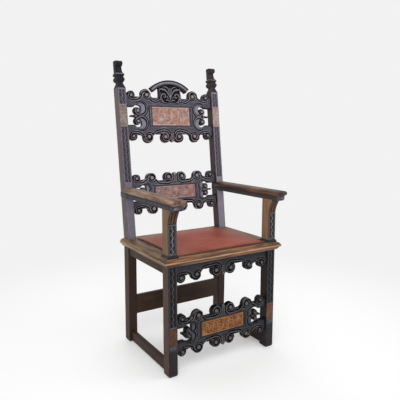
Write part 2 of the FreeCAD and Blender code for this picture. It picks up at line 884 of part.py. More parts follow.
def build():
    parts = {}
    crest, crest_tenons = crest_panel()
    middle_ear = (middle_ear_radius, middle_ear_share, middle_ear_spacing, middle_ear_slot,
                  middle_tongue_edge, stretcher_spur_share)
    front_ear = (front_ear_radius, front_ear_share, front_ear_spacing, front_ear_slot,
                 front_tongue_edge, stretcher_spur_share)
    middle, middle_tenons = stretcher_panel(middle_half_height, middle_half_height, middle_ear)
    front, front_tenons = stretcher_panel(front_top_half_height, front_bottom_half_height, front_ear)
    apron_rail, apron_tenons = apron()

    crest_up = vec(0, rail_recess, back_post_height - crest_drop)
    middle_up = vec(0, rail_recess, middle_height_up_back)
    front_up = vec(0, rail_recess, front_stretcher_centre)

    def up_back(shape, place):
        moved = shape.copy()
        moved.translate(place)
        return lean(moved)

    def in_front(shape):
        moved = shape.copy()
        moved.translate(front_up)
        return moved

    parts["crest_rail"] = up_back(crest, crest_up)
    parts["crest_cornice"] = up_back(cornice(), crest_up)
    parts["crest_plaque"] = up_back(plaque(crest_plaque_half_height), crest_up)
    parts["crest_plaque_frame"] = up_back(plaque_frame(crest_plaque_half_height), crest_up)
    parts["middle_rail"] = up_back(middle, middle_up)
    parts["middle_plaque"] = up_back(plaque(stretcher_plaque_half_height), middle_up)
    parts["middle_plaque_frame"] = up_back(plaque_frame(stretcher_plaque_half_height), middle_up)
    parts["front_stretcher"] = in_front(front)
    parts["front_plaque"] = in_front(plaque(stretcher_plaque_half_height))
    parts["front_plaque_frame"] = in_front(plaque_frame(stretcher_plaque_half_height))
    parts["front_apron"] = apron_rail

    post_front = behind_back_legs()
    rail_x1 = half_width - side_rail_recess
    side_rail = leg_to_leg_rail(rail_x1 - side_rail_thickness, rail_x1, seat_underside - side_rail_height,
                                seat_underside, post_front)
    stretcher_x1 = half_width - side_stretcher_recess
    stretcher_top = side_stretcher_foot_gap + side_stretcher_height
    side_stretcher = leg_to_leg_rail(stretcher_x1 - side_stretcher_thickness, stretcher_x1,
                                     side_stretcher_foot_gap, stretcher_top, post_front)
    board_front = back_leg_front + back_board_recess
    back_rail = plain_rail(-half_span, half_span, board_front, board_front + side_rail_thickness,
                           seat_underside - side_rail_height, seat_underside)
    back_board = plain_rail(-half_span, half_span, board_front, board_front + back_board_thickness,
                            back_board_bottom, back_board_bottom + back_board_height)
    parts["back_seat_rail"] = back_rail
    parts["back_stretcher"] = back_board

    frieze = arm_frieze(post_front)
    board = arm_board(post_front)
    arm_support = arm_post()
    frieze = frieze.cut(arm_support)

    back_tenons = [up_back(tenon, crest_up) for tenon in crest_tenons]
    back_tenons += [up_back(tenon, middle_up) for tenon in middle_tenons]
    front_tenon_set = [in_front(tenon) for tenon in front_tenons] + apron_tenons
    leg = front_leg(front_tenon_set + [side_rail, side_stretcher])
    post = back_post(back_tenons + [side_rail, side_stretcher, back_rail, back_board, frieze])
    boards, inner_x, inner_y, inner_rear = seat_boards([post, mirror_x(post)],
                                                       [leg, mirror_x(leg), arm_support, mirror_x(arm_support)])
    parts.update(boards)
    parts["seat_panel"] = box(-inner_x, inner_x, inner_y, inner_rear, seat_top - seat_panel_thickness, seat_top)
    parts["seat_pad"] = seat_pad()
    parts["seat_braid"] = braid().cut(arm_support).cut(mirror_x(arm_support))

    right_hand = {
        "front_leg": leg,
        "front_leg_inlay": leg_inlay(),
        "back_post": post,
        "back_post_inlay": back_inlay(),
        "finial": finial(),
        "side_seat_rail": side_rail,
        "side_stretcher": side_stretcher,
        "arm_post": arm_support,
        "arm_frieze": frieze,
        "arm_board": board,
    }
    for name, shape in right_hand.items():
        parts[name + "_right"] = shape
        parts[name + "_left"] = mirror_x(shape)

    whole = Part.makeCompound(list(parts.values())).BoundBox
    to_middle = vec(0, -whole.Center.y, 0)
    os.makedirs("parts", exist_ok=True)
    for name, shape in parts.items():
        placed = shape.copy()
        placed.translate(to_middle)
        placed.exportStep("parts/" + name + ".step")
        print(name, len(placed.Solids), placed.isValid(), round(placed.Volume))
    print("size", round(whole.XLength), round(whole.YLength), round(whole.ZLength))
    print("middle of the footprint", round(whole.Center.y, 3))


build()
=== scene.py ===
import math

import bmesh
import bpy
import numpy as np
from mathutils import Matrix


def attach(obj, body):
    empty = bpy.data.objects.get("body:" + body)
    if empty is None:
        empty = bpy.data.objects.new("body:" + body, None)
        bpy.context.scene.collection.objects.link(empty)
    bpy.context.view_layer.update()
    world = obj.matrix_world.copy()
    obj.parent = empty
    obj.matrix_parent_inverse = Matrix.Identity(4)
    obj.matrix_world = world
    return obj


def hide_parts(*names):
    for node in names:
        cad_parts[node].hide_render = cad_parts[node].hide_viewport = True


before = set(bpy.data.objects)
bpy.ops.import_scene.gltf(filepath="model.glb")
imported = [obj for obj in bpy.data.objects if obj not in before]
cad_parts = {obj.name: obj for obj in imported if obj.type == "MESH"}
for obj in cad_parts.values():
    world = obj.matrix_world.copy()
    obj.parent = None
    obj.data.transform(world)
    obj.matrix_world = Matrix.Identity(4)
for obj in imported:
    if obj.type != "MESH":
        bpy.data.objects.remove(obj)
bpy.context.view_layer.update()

# Everything is drawn in millimetres from the front of the front legs, and turned to metres in addPiece
chair = {
    "footprintShift": 229.055,
    "halfSpan": 233.2,
    "halfWidth": 273.5,
    "frontLegDepth": 48.0,
    "backLegDepth": 48.0,
    "backLegFront": 381.5,
    "backLegSplay": 9.0,
    "rakeDegrees": 6.55,
    "seatTop": 498.0,
    "seatUnderside": 462.0,
    "shoulderUpBack": 692.5,
    "middleRailUp": 202.3,
    "frontRailUp": 166.5,
    "railRecess": 8.0,
    "railThickness": 26.0,
    "overlap": 1.5,
}
rake = math.radians(chair["rakeDegrees"])
legWidth = chair["halfWidth"] - chair["halfSpan"]
postMiddle = chair["halfSpan"] + legWidth / 2
railEnd = chair["halfSpan"] + chair["overlap"]
recess = chair["railRecess"]
# the finish's Right ending picks the right-hand copies, which hold painted light and shade
sides = ((1, "right", "Right"), (-1, "left", ""))  # sign, end of the piece's name, end of the finish's name


# Camera, at the photo's own angle

cameraSetup = {
    "place": (-1.09325, -1.74898, 0.98939),
    "turnDegrees": 32.45,
    "downDegrees": 8.54,
    "lens": 41.24,
    "sensor": 36,
}


def linked(name, data):
    made = bpy.data.objects.new(name, data)
    bpy.context.scene.collection.objects.link(made)
    return made


def makeCamera(values):
    camera = linked("camera", bpy.data.cameras.new("camera"))
    camera.location = values["place"]
    tilt, turn = math.radians(90 - values["downDegrees"]), -math.radians(values["turnDegrees"])
    camera.rotation_euler = (tilt, 0, turn)
    camera.data.lens = values["lens"]
    camera.data.sensor_width = values["sensor"]
    camera.data.clip_end = 60
    bpy.context.scene.camera = camera


makeCamera(cameraSetup)
print("camera is set")


# Node helpers for the materials

def addNode(tree, kind, links=None, **settings):
    # links maps a socket's name or number to a value or to another node's output
    node = tree.nodes.new(kind)
    for key, value in settings.items():
        setattr(node, key, value)
    for key, value in (links or {}).items():
        socket = node.inputs[key]
        if isinstance(value, bpy.types.NodeSocket):
            tree.links.new(value, socket)
        else:
            socket.default_value = value
    return node


def newMaterial(name):
    material = bpy.data.materials.new(name)
    material.use_nodes = True
    tree = material.node_tree
    tree.nodes.clear()
    output = tree.nodes.new("ShaderNodeOutputMaterial")
    shader = tree.nodes.new("ShaderNodeBsdfPrincipled")
    tree.links.new(shader.outputs[0], output.inputs[0])
    return material, tree, shader


def colour(hexText):
    # hex text to a linear colour
    channels = [int(hexText[k:k + 2], 16) / 255 for k in (0, 2, 4)]
    linear = [c / 12.92 if c <= 0.04045 else ((c + 0.055) / 1.055) ** 2.4 for c in channels]
    return (*linear, 1.0)


def blendColours(tree, share, first, second, mode="MIX"):
    # each colour is hex text or another node's output
    first, second = (colour(value) if isinstance(value, str) else value for value in (first, second))
    node = addNode(tree, "ShaderNodeMix", {0: share, 6: first, 7: second}, data_type="RGBA", blend_type=mode)
    return node.outputs[2]


def spread(tree, value, low, high, toLow=0.0, toHigh=1.0):
    node = addNode(tree, "ShaderNodeMapRange", {0: value, 1: low, 2: high, 3: toLow, 4: toHigh}, clamp=True)
    return node.outputs[0]


def layer(tree, tint, hexText, value, low, high, most=1.0):
    # lays a colour over the tint, more and more as the value goes from low to high
    return blendColours(tree, spread(tree, value, low, high, 0.0, most), tint, hexText)


def mathNode(tree, operation, first, second=0.0):
    return addNode(tree, "ShaderNodeMath", {0: first, 1: second}, operation=operation).outputs[0]


def times(tree, first, second):
    return mathNode(tree, "MULTIPLY", first, second)


def noise(tree, place, scale, detail=4.0, rough=0.6):
    return addNode(tree, "ShaderNodeTexNoise", {"Vector": place, "Scale": scale, "Detail": detail,
                                                "Roughness": rough}).outputs[0]


def objectPlace(tree, stretch=(1, 1, 1), turn=(0, 0, 0)):
    where = addNode(tree, "ShaderNodeTexCoord").outputs["Object"]
    node = addNode(tree, "ShaderNodeMapping", {"Vector": where, "Scale": stretch, "Rotation": turn})
    return node.outputs[0]


def stretched(along, share):
    return [share if axis == along else 1.0 for axis in range(3)]


def carved(tree, name="carve"):
    # how high the carving stands here, from 0 in a cut to 1 at its top, or how much of a ridge it is
    # these values also carry painted light and shade
    return addNode(tree, "ShaderNodeAttribute", attribute_name=name).outputs["Fac"]


def facing(tree):
    # the surface's direction across, deep and up
    normal = addNode(tree, "ShaderNodeNewGeometry").outputs["Normal"]
    return addNode(tree, "ShaderNodeSeparateXYZ", {0: normal}).outputs


# Colours and finishes

darkOakFinish = {"grainFine": 260.0, "grainStretch": 0.055, "roughness": (0.38, 0.60), "bump": 0.22,
                 "gloss": 0.22}
darkOakLooks = {
    "Back": {"cut": "020203", "low": "54525d", "body": "0f0e12", "ridge": "262327", "wearAndHighlight": "938e96",
             "litHollow": "82818f", "side": "38333a", "sideDark": "2a262a", "gloss": 0.10,
             "warm": "ffede6", "warmFrom": 0.84, "warmTo": 0.985, "warmSoft": 0.03},
    "Front": {"cut": "010101", "low": "36373f", "body": "0f0e10", "ridge": "1b191b", "wearAndHighlight": "625f5f",
              "litHollow": "4d515b", "side": "2b2828", "sideDark": "201d1d", "gloss": 0.10},
    "Posts": {"cut": "0e0b10", "low": "7d7784", "body": "47414b", "ridge": "544d58", "wearAndHighlight": "857e8a",
              "litHollow": "6b6573", "side": "6c6060", "sideDark": "50464a"},
    "Legs": {"cut": "020203", "low": "302d32", "body": "151316", "ridge": "1d1b1e", "wearAndHighlight": "67646b",
             "litHollow": "27252a", "side": "583f31", "sideDark": "3a281e"},
    "ArmPosts": {"cut": "040304", "low": "5a545c", "body": "383134", "ridge": "433c3d", "wearAndHighlight": "969298",
                 "litHollow": "5c5559", "side": "8a6b50", "sideDark": "57422f"},
    "BackLegs": {"cut": "060404", "low": "3c2a22", "body": "2d1f19", "ridge": "36261e", "wearAndHighlight": "5f463a",
                 "litHollow": "3c2a22", "side": "463226", "sideDark": "2a1d16"},
}
darkOakVariants = {  # each starts from another look; the right-hand copies hold painted light and shade
    # painted light on the right posts' fronts, painted shade on their inner sides
    "PostsRight": ("Posts", {"low": "8d8794", "body": "645d69", "side": "483a37", "sideDark": "2d2424"}),
    # painted shade on the right legs' inner sides
    "LegsRight": ("Legs", {"side": "2b2421", "sideDark": "1c1816"}),
    # painted light on the right arm posts' inner sides
    "ArmPostsRight": ("ArmPosts", {"side": "a07f60", "sideDark": "6b523b"}),
    "Consoles": ("ArmPosts", {"low": "70503f", "body": "412b21", "ridge": "50362a", "wearAndHighlight": "93745f",
                              "litHollow": "5c4135"}),
    # painted light on the right consoles' inner sides
    "ConsolesRight": ("Consoles", {"side": "a07f60", "sideDark": "6b523b"}),
    "Finials": ("Back", {}),
    # painted light: the right finial is a lighter copy
    "FinialsRight": ("Back", {"low": "6c6063", "body": "1f191b", "ridge": "392f32", "wearAndHighlight": "a39698",
                              "side": "4a4143", "sideDark": "372f31"}),
    "Friezes": ("Back", {"side": "57504f", "sideDark": "3f3939"}),
}
darkOakGrain = {"Back": 0, "Front": 0, "Friezes": 1}  # axis of the grain, upright elsewhere
plainOakLook = {"body": "241c18", "side": "4d3726", "sideDark": "2f2118", "grainFine": 220.0,
                "grainStretch": 0.05, "roughness": (0.45, 0.66), "bump": 0.22, "gloss": 0.25}
goldenOakFinish = {"grainFine": 240.0, "grainStretch": 0.05, "roughness": (0.36, 0.58), "bump": 0.18,
                   "gloss": 0.35, "end": 0.0}
goldenOakLooks = {
    "Across": {"deep": "412d20", "body": "875938", "light": "b8835a", "wearAndHighlight": "d6b492"},
    "Deep": {"deep": "3a2c20", "body": "72553a", "light": "9f7f5b", "wearAndHighlight": "cdb08e"},
    "LeftArm": {"deep": "3c2c22", "body": "84604a", "light": "c19c7f", "wearAndHighlight": "dfc2a4", "end": 0.55},
    "RightArm": {"deep": "20150f", "body": "533928", "light": "7c5b44", "wearAndHighlight": "c4a283", "end": 0.55},
}
plaqueFinish = {"roughness": (0.45, 0.65), "bump": 0.25, "gloss": 0.3}
plaqueLook = {
    "crest": {"ground": "8a6c66", "relief": "c9a89e", "warm": "b3806c", "pale": "cdb2ab", "cut": "5e4440"},
    "middle": {"ground": "745957", "relief": "b3948f", "warm": "a2705f", "pale": "b59b98", "cut": "4e3939"},
    "front": {"ground": "5e321c", "relief": "a8743f", "warm": "7c4226", "pale": "a0763f", "cut": "321a0f",
              "roughness": (0.42, 0.62)},
    # the left and right inlays share one finish, darker on the left and lighter on the right: painted light
    # and shade
    "backLeft": {"ground": "6f5e5d", "relief": "93807e", "warm": "8c6c65", "pale": "a5918c",
                 "cut": "463736"},
    "backRight": {"ground": "8a7675", "relief": "b39d9a", "warm": "a8837b", "pale": "c6afaa",
                  "cut": "564544"},
    "legLeft": {"ground": "3b261d", "relief": "563829", "warm": "492b1f", "pale": "603f2f", "cut": "1d110c",
                "roughness": (0.42, 0.62)},
    "legRight": {"ground": "4f3528", "relief": "704c39", "warm": "603a29", "pale": "7c543e", "cut": "26160f",
                 "roughness": (0.42, 0.62)},
}
leatherLook = {"body": "953f2f", "worn": "b05c4a", "dark": "6a2b21", "dusty": "8a614c",
               "roughness": (0.42, 0.62), "bump": 0.35, "gloss": 0.28, "pebbles": 520.0}
braidLook = {"body": "382928", "light": "765650", "roughness": (0.6, 0.8), "bump": 0.4, "gloss": 0.4,
             "strands": 420.0}


def woodGrain(tree, look, along):
    # streaks that run along the length of the piece, with wide slow figure under them
    place = objectPlace(tree, stretched(along, look["grainStretch"]))
    fine = noise(tree, place, look["grainFine"], 5.0)
    wide = noise(tree, place, look["grainFine"] / 7, 3.0, 0.5)
    return mathNode(tree, "ADD", times(tree, fine, 0.6), times(tree, wide, 0.4)), fine


def finishSurface(tree, shader, look, tint, texture, distance=0.0004):
    rough = spread(tree, texture, 0.3, 0.7, *look["roughness"])
    bump = addNode(tree, "ShaderNodeBump", {"Strength": look["bump"], "Distance": distance,
                                            "Height": texture})
    tree.links.new(tint, shader.inputs["Base Color"])
    tree.links.new(rough, shader.inputs["Roughness"])
    shader.inputs["Specular IOR Level"].default_value = look["gloss"]
    tree.links.new(bump.outputs[0], shader.inputs["Normal"])


def darkOak(name, along, look):
    # stained carved oak, with painted light and painted shade that follow the carving
    look = dict(darkOakFinish, **look)
    material, tree, shader = newMaterial(name)
    grain, fine = woodGrain(tree, look, along)
    height, ridge = carved(tree), carved(tree, "ridge")
    patch = noise(tree, objectPlace(tree), 38.0, 3.0)
    streaks = spread(tree, grain, 0.35, 0.65)
    tint = blendColours(tree, streaks, look["body"], look["ridge"])
    # painted sheen: the flat ground takes the pale bluish low colour, which stands for reflected light
    ground = times(tree, spread(tree, height, 0.62, 0.50), spread(tree, patch, 0.3, 0.6, 0.7, 1.0))
    tint = blendColours(tree, ground, tint, look["low"])
    # painted light: the deepest sunk hollows are painted paler, like a lit surface
    tint = layer(tree, tint, look["litHollow"], height, 0.28, 0.10)
    # painted shade: black in the hollows between the raised parts
    tint = layer(tree, tint, look["cut"], ridge, 0.49, 0.33)
    # wear and painted highlight: pale on the raised edges and on the tops of the carving
    wearAndHighlight = times(tree, spread(tree, ridge, 0.58, 0.90), spread(tree, patch, 0.3, 0.6, 0.5, 1.0))
    wearAndHighlight = mathNode(tree, "MAXIMUM", wearAndHighlight, spread(tree, height, 0.74, 0.86))
    tint = blendColours(tree, wearAndHighlight, tint, look["wearAndHighlight"])
    sideways = spread(tree, mathNode(tree, "ABSOLUTE", facing(tree)[0]), 0.80, 0.96)
    tint = blendColours(tree, sideways, tint, blendColours(tree, streaks, look["sideDark"], look["side"]))
    if "warm" in look:
        # the middle of the back has a warmer stain
        up = addNode(tree, "ShaderNodeSeparateXYZ", {0: objectPlace(tree)}).outputs[2]
        soft = look["warmSoft"]
        inside = times(tree, spread(tree, up, look["warmTo"], look["warmTo"] - soft),
                       spread(tree, up, look["warmFrom"], look["warmFrom"] + soft))
        tint = blendColours(tree, inside, tint, look["warm"], "MULTIPLY")
    finishSurface(tree, shader, look, tint, fine)
    return material


def plainOak(name, along, look):
    # boards of the same oak without the polish
    material, tree, shader = newMaterial(name)
    grain, fine = woodGrain(tree, look, along)
    tint = blendColours(tree, spread(tree, grain, 0.32, 0.68), look["sideDark"], look["side"])
    tint = layer(tree, tint, look["body"], noise(tree, objectPlace(tree), 9.0, 3.0), 0.42, 0.7, 0.6)
    finishSurface(tree, shader, look, tint, fine)
    return material


def goldenOak(name, along, look):
    # arms and seat edge: honey brown in dark and light streaks, pale edges of wear and painted highlight
    look = dict(goldenOakFinish, **look)
    material, tree, shader = newMaterial(name)
    grain, fine = woodGrain(tree, look, along)
    height = carved(tree)
    patch = noise(tree, objectPlace(tree, stretched(along, 0.16)), 42.0)
    streak = noise(tree, objectPlace(tree, stretched(along, 0.08)), 120.0, 3.0, 0.55)
    tint = blendColours(tree, spread(tree, grain, 0.35, 0.65), look["deep"], look["body"])
    for key, value, low, high, most in (
            ("light", patch, 0.42, 0.66, 0.75), ("deep", patch, 0.44, 0.30, 0.5),
            ("deep", streak, 0.50, 0.38, 0.5), ("light", streak, 0.54, 0.66, 0.45),
            # the last darkens the gouges: painted shade
            ("deep", height, 0.30, 0.10, 1.0)):
        tint = layer(tree, tint, look[key], value, low, high, most)
    # wear and painted highlight: pale on the nosing and the top edge of the seat
    wearAndHighlight = times(tree, spread(tree, height, 0.74, 0.98), spread(tree, patch, 0.35, 0.6, 0.45, 0.95))
    tint = blendColours(tree, wearAndHighlight, tint, look["wearAndHighlight"])
    # the end grain at the front is darker
    tint = layer(tree, tint, look["deep"], facing(tree)[1], -0.70, -0.95, look["end"])
    finishSurface(tree, shader, look, tint, fine)
    return material


def plaqueWood(name, look):
    # low relief in a lighter wood, paler on the raised relief, with painted shade round the rim and in the
    # dips
    look = dict(plaqueFinish, **look)
    material, tree, shader = newMaterial(name)
    height = carved(tree)
    patch = noise(tree, objectPlace(tree), 34.0)
    pale = noise(tree, objectPlace(tree, (1, 1, 1), (0.4, 0.7, 0.2)), 46.0, 3.0)
    fine = noise(tree, objectPlace(tree, (0.25, 1, 1)), 420.0)
    tint = blendColours(tree, spread(tree, height, 0.42, 0.72), look["ground"], look["relief"])
    tint = layer(tree, tint, look["warm"], patch, 0.44, 0.62, 0.8)
    tint = layer(tree, tint, look["pale"], pale, 0.50, 0.68, 0.8)
    # painted shade round the rounded rim and in the dips
    tint = layer(tree, tint, look["cut"], height, 0.30, 0.08)
    finishSurface(tree, shader, look, tint, fine, 0.0003)
    return material


def seatLeather(name, look):
    # red leather, pebbled, darker in patches, with painted shade round the edge, dusty where it wears
    material, tree, shader = newMaterial(name)
    place = objectPlace(tree)
    patch, mottle = noise(tree, place, 7.0), noise(tree, place, 60.0, 4.0, 0.65)
    cells = addNode(tree, "ShaderNodeTexVoronoi", {"Vector": place, "Scale": look["pebbles"]},
                    feature="DISTANCE_TO_EDGE").outputs[0]
    tint = blendColours(tree, spread(tree, patch, 0.36, 0.66), look["body"], look["worn"])
    tint = layer(tree, tint, look["dark"], mottle, 0.52, 0.74, 0.55)
    dusty = times(tree, carved(tree, "ridge"), spread(tree, mottle, 0.3, 0.6, 0.5, 1.0))
    tint = blendColours(tree, dusty, tint, look["dusty"])
    # painted shade round the rim of the cushion, at its tacks and down its sides
    tint = layer(tree, tint, look["dark"], carved(tree), 0.42, 0.1, 0.7)
    finishSurface(tree, shader, look, tint, spread(tree, cells, 0.0, 0.22), 0.0003)
    return material


def wovenBraid(name, look):
    material, tree, shader = newMaterial(name)
    strands = addNode(tree, "ShaderNodeTexWave", {"Vector": objectPlace(tree), "Scale": look["strands"],
                                                  "Distortion": 2.0},
                      wave_type="BANDS", bands_direction="DIAGONAL").outputs["Fac"]
    tint = blendColours(tree, spread(tree, strands, 0.4, 0.8), look["body"], look["light"])
    finishSurface(tree, shader, look, tint, strands)
    return material


finishes = {
    "boardAcross": plainOak("plainOakAcross", 0, plainOakLook),
    "boardDeep": plainOak("plainOakDeep", 1, plainOakLook),
    "leather": seatLeather("brickLeather", leatherLook),
    "braid": wovenBraid("darkBraid", braidLook),
}
for key, (start, changes) in darkOakVariants.items():
    darkOakLooks[key] = dict(darkOakLooks[start], **changes)
for key, look in darkOakLooks.items():
    finishes["carved" + key] = darkOak("carvedOak" + key, darkOakGrain.get(key, 2), look)
for key, look in goldenOakLooks.items():
    finishes["golden" + key] = goldenOak("goldenOak" + key, 0 if key == "Across" else 1, look)
for key, look in plaqueLook.items():
    finishes[key + "Plaque"] = plaqueWood(key + "PlaqueWood", look)
print("materials are made")


# Floor, world and lamps

stageSetup = {
    "backdrop": 0.888,
    "floorTint": 0.92,
    "floorReach": 14.0,
    "floorLift": 0.21,
    "nearShare": 0.06,
    "fadeFrom": 0.4,
    "fadeTo": 1.7,
    "worldStrength": 0.72,
    "lampAim": (0.0, 0.0, 0.6),
    "lamps": {  # place, size, power
        "keyLamp": ((-1.6, -2.6, 2.9), 2.4, 42.0),
        "fillLamp": ((2.6, -1.8, 2.2), 2.4, 16.0),
        "backLamp": ((0.4, 2.6, 2.8), 2.0, 16.0),
    },
}
white = (1, 1, 1, 1)


def makeWorld(values):
    world = bpy.data.worlds.new("studio")
    bpy.context.scene.world = world
    world.use_nodes = True
    tree = world.node_tree
    tree.nodes.clear()
    seen = addNode(tree, "ShaderNodeLightPath").outputs["Is Camera Ray"]
    lit = addNode(tree, "ShaderNodeBackground", {"Color": white, "Strength": values["worldStrength"]})
    shown = addNode(tree, "ShaderNodeBackground", {"Color": white, "Strength": values["backdrop"]})
    mix = addNode(tree, "ShaderNodeMixShader", {0: seen, 1: lit.outputs[0], 2: shown.outputs[0]})
    addNode(tree, "ShaderNodeOutputWorld", {0: mix.outputs[0]})


def makeFloor(values):
    # a plain floor that keeps the shadow near the chair and fades into the backdrop
    mesh = bpy.data.meshes.new("floor")
    r = values["floorReach"]
    mesh.from_pydata([(-r, -r, 0), (r, -r, 0), (r, r, 0), (-r, r, 0)], [], [(0, 1, 2, 3)])
    floor = linked("floor", mesh)
    material, tree, shader = newMaterial("paleFloor")
    shader.inputs["Base Color"].default_value = (values["floorTint"],) * 3 + (1,)
    shader.inputs["Roughness"].default_value = 0.9
    shader.inputs["Specular IOR Level"].default_value = 0.1
    where = addNode(tree, "ShaderNodeTexCoord").outputs["Object"]
    length = addNode(tree, "ShaderNodeVectorMath", {0: where}, operation="LENGTH").outputs["Value"]
    far = spread(tree, length, values["fadeFrom"], values["fadeTo"], values["nearShare"], 1.0)
    lift = spread(tree, length, values["fadeFrom"], values["fadeTo"], values["floorLift"], values["backdrop"])
    strength = mathNode(tree, "DIVIDE", lift, far)
    glow = addNode(tree, "ShaderNodeEmission", {"Color": white, "Strength": strength})
    share = times(tree, far, addNode(tree, "ShaderNodeLightPath").outputs["Is Camera Ray"])
    mix = addNode(tree, "ShaderNodeMixShader", {0: share, 1: shader.outputs[0], 2: glow.outputs[0]})
    tree.links.new(mix.outputs[0], tree.nodes["Material Output"].inputs[0])
    mesh.materials.append(material)


def makeLamps(values):
    for name, (place, size, power) in values["lamps"].items():
        data = bpy.data.lights.new(name, "AREA")
        data.shape = "DISK"
        data.size = size
        data.energy = power
        lamp = linked(name, data)
        lamp.location = place
        aim = np.array(values["lampAim"]) - np.array(place)
        flat = math.hypot(aim[0], aim[1])
        right = math.pi / 2
        lamp.rotation_euler = (right + math.atan2(aim[2], flat), 0, math.atan2(aim[1], aim[0]) - right)


makeWorld(stageSetup)
makeFloor(stageSetup)
makeLamps(stageSetup)
bpy.context.scene.view_settings.view_transform = "Standard"
print("stage is set")


# Places: each turns a point across, deep and up in its own panel into the chair's space

def frontPlace(middle=0.0, recess=0.0):
    def place(across, deep, up):
        return np.stack([across, deep + recess, up + middle], 1)
    return place


def backPlace(middle=0.0, recess=0.0):
    def place(across, deep, up):
        y = chair["backLegFront"] + (deep + recess) * math.cos(rake) + (up + middle) * math.sin(rake)
        z = chair["seatTop"] - (deep + recess) * math.sin(rake) + (up + middle) * math.cos(rake)
        return np.stack([across, y, z], 1)
    return place


def shifted(place, across):
    def moved(x, deep, up):
        return place(x + across, deep, up)
    return moved


# Pieces: every mesh rides on the chair and stands for a plain solid, which is hidden

def addShades(mesh, shades):
    # values at the points, which the materials read as carve and ridge
    for key, values in shades.items():
        kept = mesh.attributes.new(key, "FLOAT", "POINT")
        kept.data.foreach_set("value", np.asarray(values, np.float32))


def dressed(name, mesh, finish, node, slot, sharpDegrees):
    mesh.validate()
    mesh.shade_smooth()
    mesh.set_sharp_from_angle(angle=math.radians(sharpDegrees))
    mesh.materials.clear()
    mesh.materials.append(finishes[finish])
    piece = linked(name, mesh)
    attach(piece, "root")
    if node:
        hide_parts(node)
    return piece


def addPiece(name, made, finish, node="", slot="dark_oak", sharpDegrees=38):
    # made holds points in millimetres, faces and the shades at the points
    points, faces, shades = made
    points = np.asarray(points, float) * 0.001
    points[:, 1] -= chair["footprintShift"] * 0.001
    mesh = bpy.data.meshes.new(name)
    mesh.from_pydata(points.tolist(), [], faces)
    addShades(mesh, shades)
    shape = bmesh.new()
    shape.from_mesh(mesh)
    bmesh.ops.remove_doubles(shape, verts=shape.verts, dist=0.00003)
    bmesh.ops.recalc_face_normals(shape, faces=shape.faces)
    shape.to_mesh(mesh)
    shape.free()
    return dressed(name, mesh, finish, node, slot, sharpDegrees)


def secondFinish(piece, finish, chosen):
    # gives the chosen faces another finish
    piece.data.materials.append(finishes[finish])
    for face in piece.data.polygons:
        if chosen(face.center.z):
            face.material_index = 1


def sweptFaces(rings, size, closed=False, start=0):
    # faces between neighbouring rings of points, with a cap at both ends unless the last ring meets the first
    faces = []
    for k in range(rings if closed else rings - 1):
        a, b = start + k * size, start + (k + 1) % rings * size
        faces += [[a + m, a + (m + 1) % size, b + (m + 1) % size, b + m] for m in range(size)]
    if not closed:
        last = start + (rings - 1) * size
        faces += [[start + m for m in range(size)], [last + m for m in reversed(range(size))]]
    return faces


def sheetFaces(n, m):
    return [[i * m + j, (i + 1) * m + j, (i + 1) * m + j + 1, i * m + j + 1]
            for i in range(n - 1) for j in range(m - 1)]


# Outlines: distances in millimetres, negative inside

def disc(x, z, middle, radius):
    return np.hypot(x - middle[0], z - middle[1]) - radius


def block(x, z, left, right, low, high):
    return np.maximum(np.maximum(left - x, x - right), np.maximum(low - z, z - high))


def joined(*shapes):
    return np.minimum.reduce(shapes)


def softened(edge, distance, reach):
    # 0 deep inside a shape, rising to edge at its rim
    share = np.clip(1 - distance / reach, 0, 1)
    return edge * share * share


def domed(share):
    share = np.clip(share, 0, 1)
    return np.sqrt(np.clip(1 - (1 - share) ** 2, 0, 1))


def eased(value, low, high):
    share = np.clip((value - low) / (high - low), 0, 1)
    return share * share * (3 - 2 * share)


def bell(value, width):
    # 1 where the value is nothing, fading as it nears the width
    return np.exp(-(value / width) ** 2)


def handWork(x, z, size=1.0):
    # faint uneven tool marks, the same at every run
    return size * (np.sin(x * 0.31 + 1.7 * np.sin(z * 0.17)) * np.sin(z * 0.27 + 1.3 * np.sin(x * 0.13))
                   + 0.5 * np.sin(x * 0.83 + z * 0.61) * np.sin(z * 0.71 - x * 0.39))


def smoothPath(points, count=10):
    # a curve through the points, with count steps between each two; each point may carry a width
    points = np.asarray(points, float)
    padded = np.vstack([2 * points[0] - points[1], points, 2 * points[-1] - points[-2]])
    steps = np.linspace(0, 1, count, endpoint=False)[:, None]
    parts = []
    for k in range(len(points) - 1):
        a, b, c, d = padded[k:k + 4]
        parts.append(0.5 * (2 * b + (c - a) * steps + (2 * a - 5 * b + 4 * c - d) * steps ** 2
                            + (3 * b - a - 3 * c + d) * steps ** 3))
    return np.vstack(parts + [points[-1:]])


def curl(middle, radii, degrees, widths, count=9):
    # points of a spiral as rows of across, up and half width
    turn = np.radians(np.linspace(degrees[0], degrees[1], count))
    reach = np.linspace(radii[0], radii[1], count)
    width = np.linspace(widths[0], widths[1], count)
    x, z = middle
    return [(x + r * math.cos(t), z + r * math.sin(t), w) for t, r, w in zip(turn, reach, width)]


def strokeShare(x, z, path):
    # 1 on the middle line of a stroke, 0 at its edges, down to -1 outside
    result = np.full(x.shape, -1.0)
    reach = 2 * path[:, 2].max()
    near = ((x > path[:, 0].min() - reach) & (x < path[:, 0].max() + reach)
            & (z > path[:, 1].min() - reach) & (z < path[:, 1].max() + reach))
    px, pz = x[near], z[near]
    best = np.full(px.shape, -1.0)
    for a, b in zip(path[:-1], path[1:]):
        step = b[:2] - a[:2]
        length = step @ step
        if length < 1e-9:
            continue
        along = np.clip(((px - a[0]) * step[0] + (pz - a[1]) * step[1]) / length, 0, 1)
        width = a[2] + (b[2] - a[2]) * along
        away = np.hypot(px - a[0] - along * step[0], pz - a[1] - along * step[1])
        best = np.maximum(best, 1 - away / np.maximum(width, 0.01))
    result[near] = best
    return result


def strokesShare(x, z, strokes):
    return np.maximum.reduce([strokeShare(x, z, stroke) for stroke in strokes])


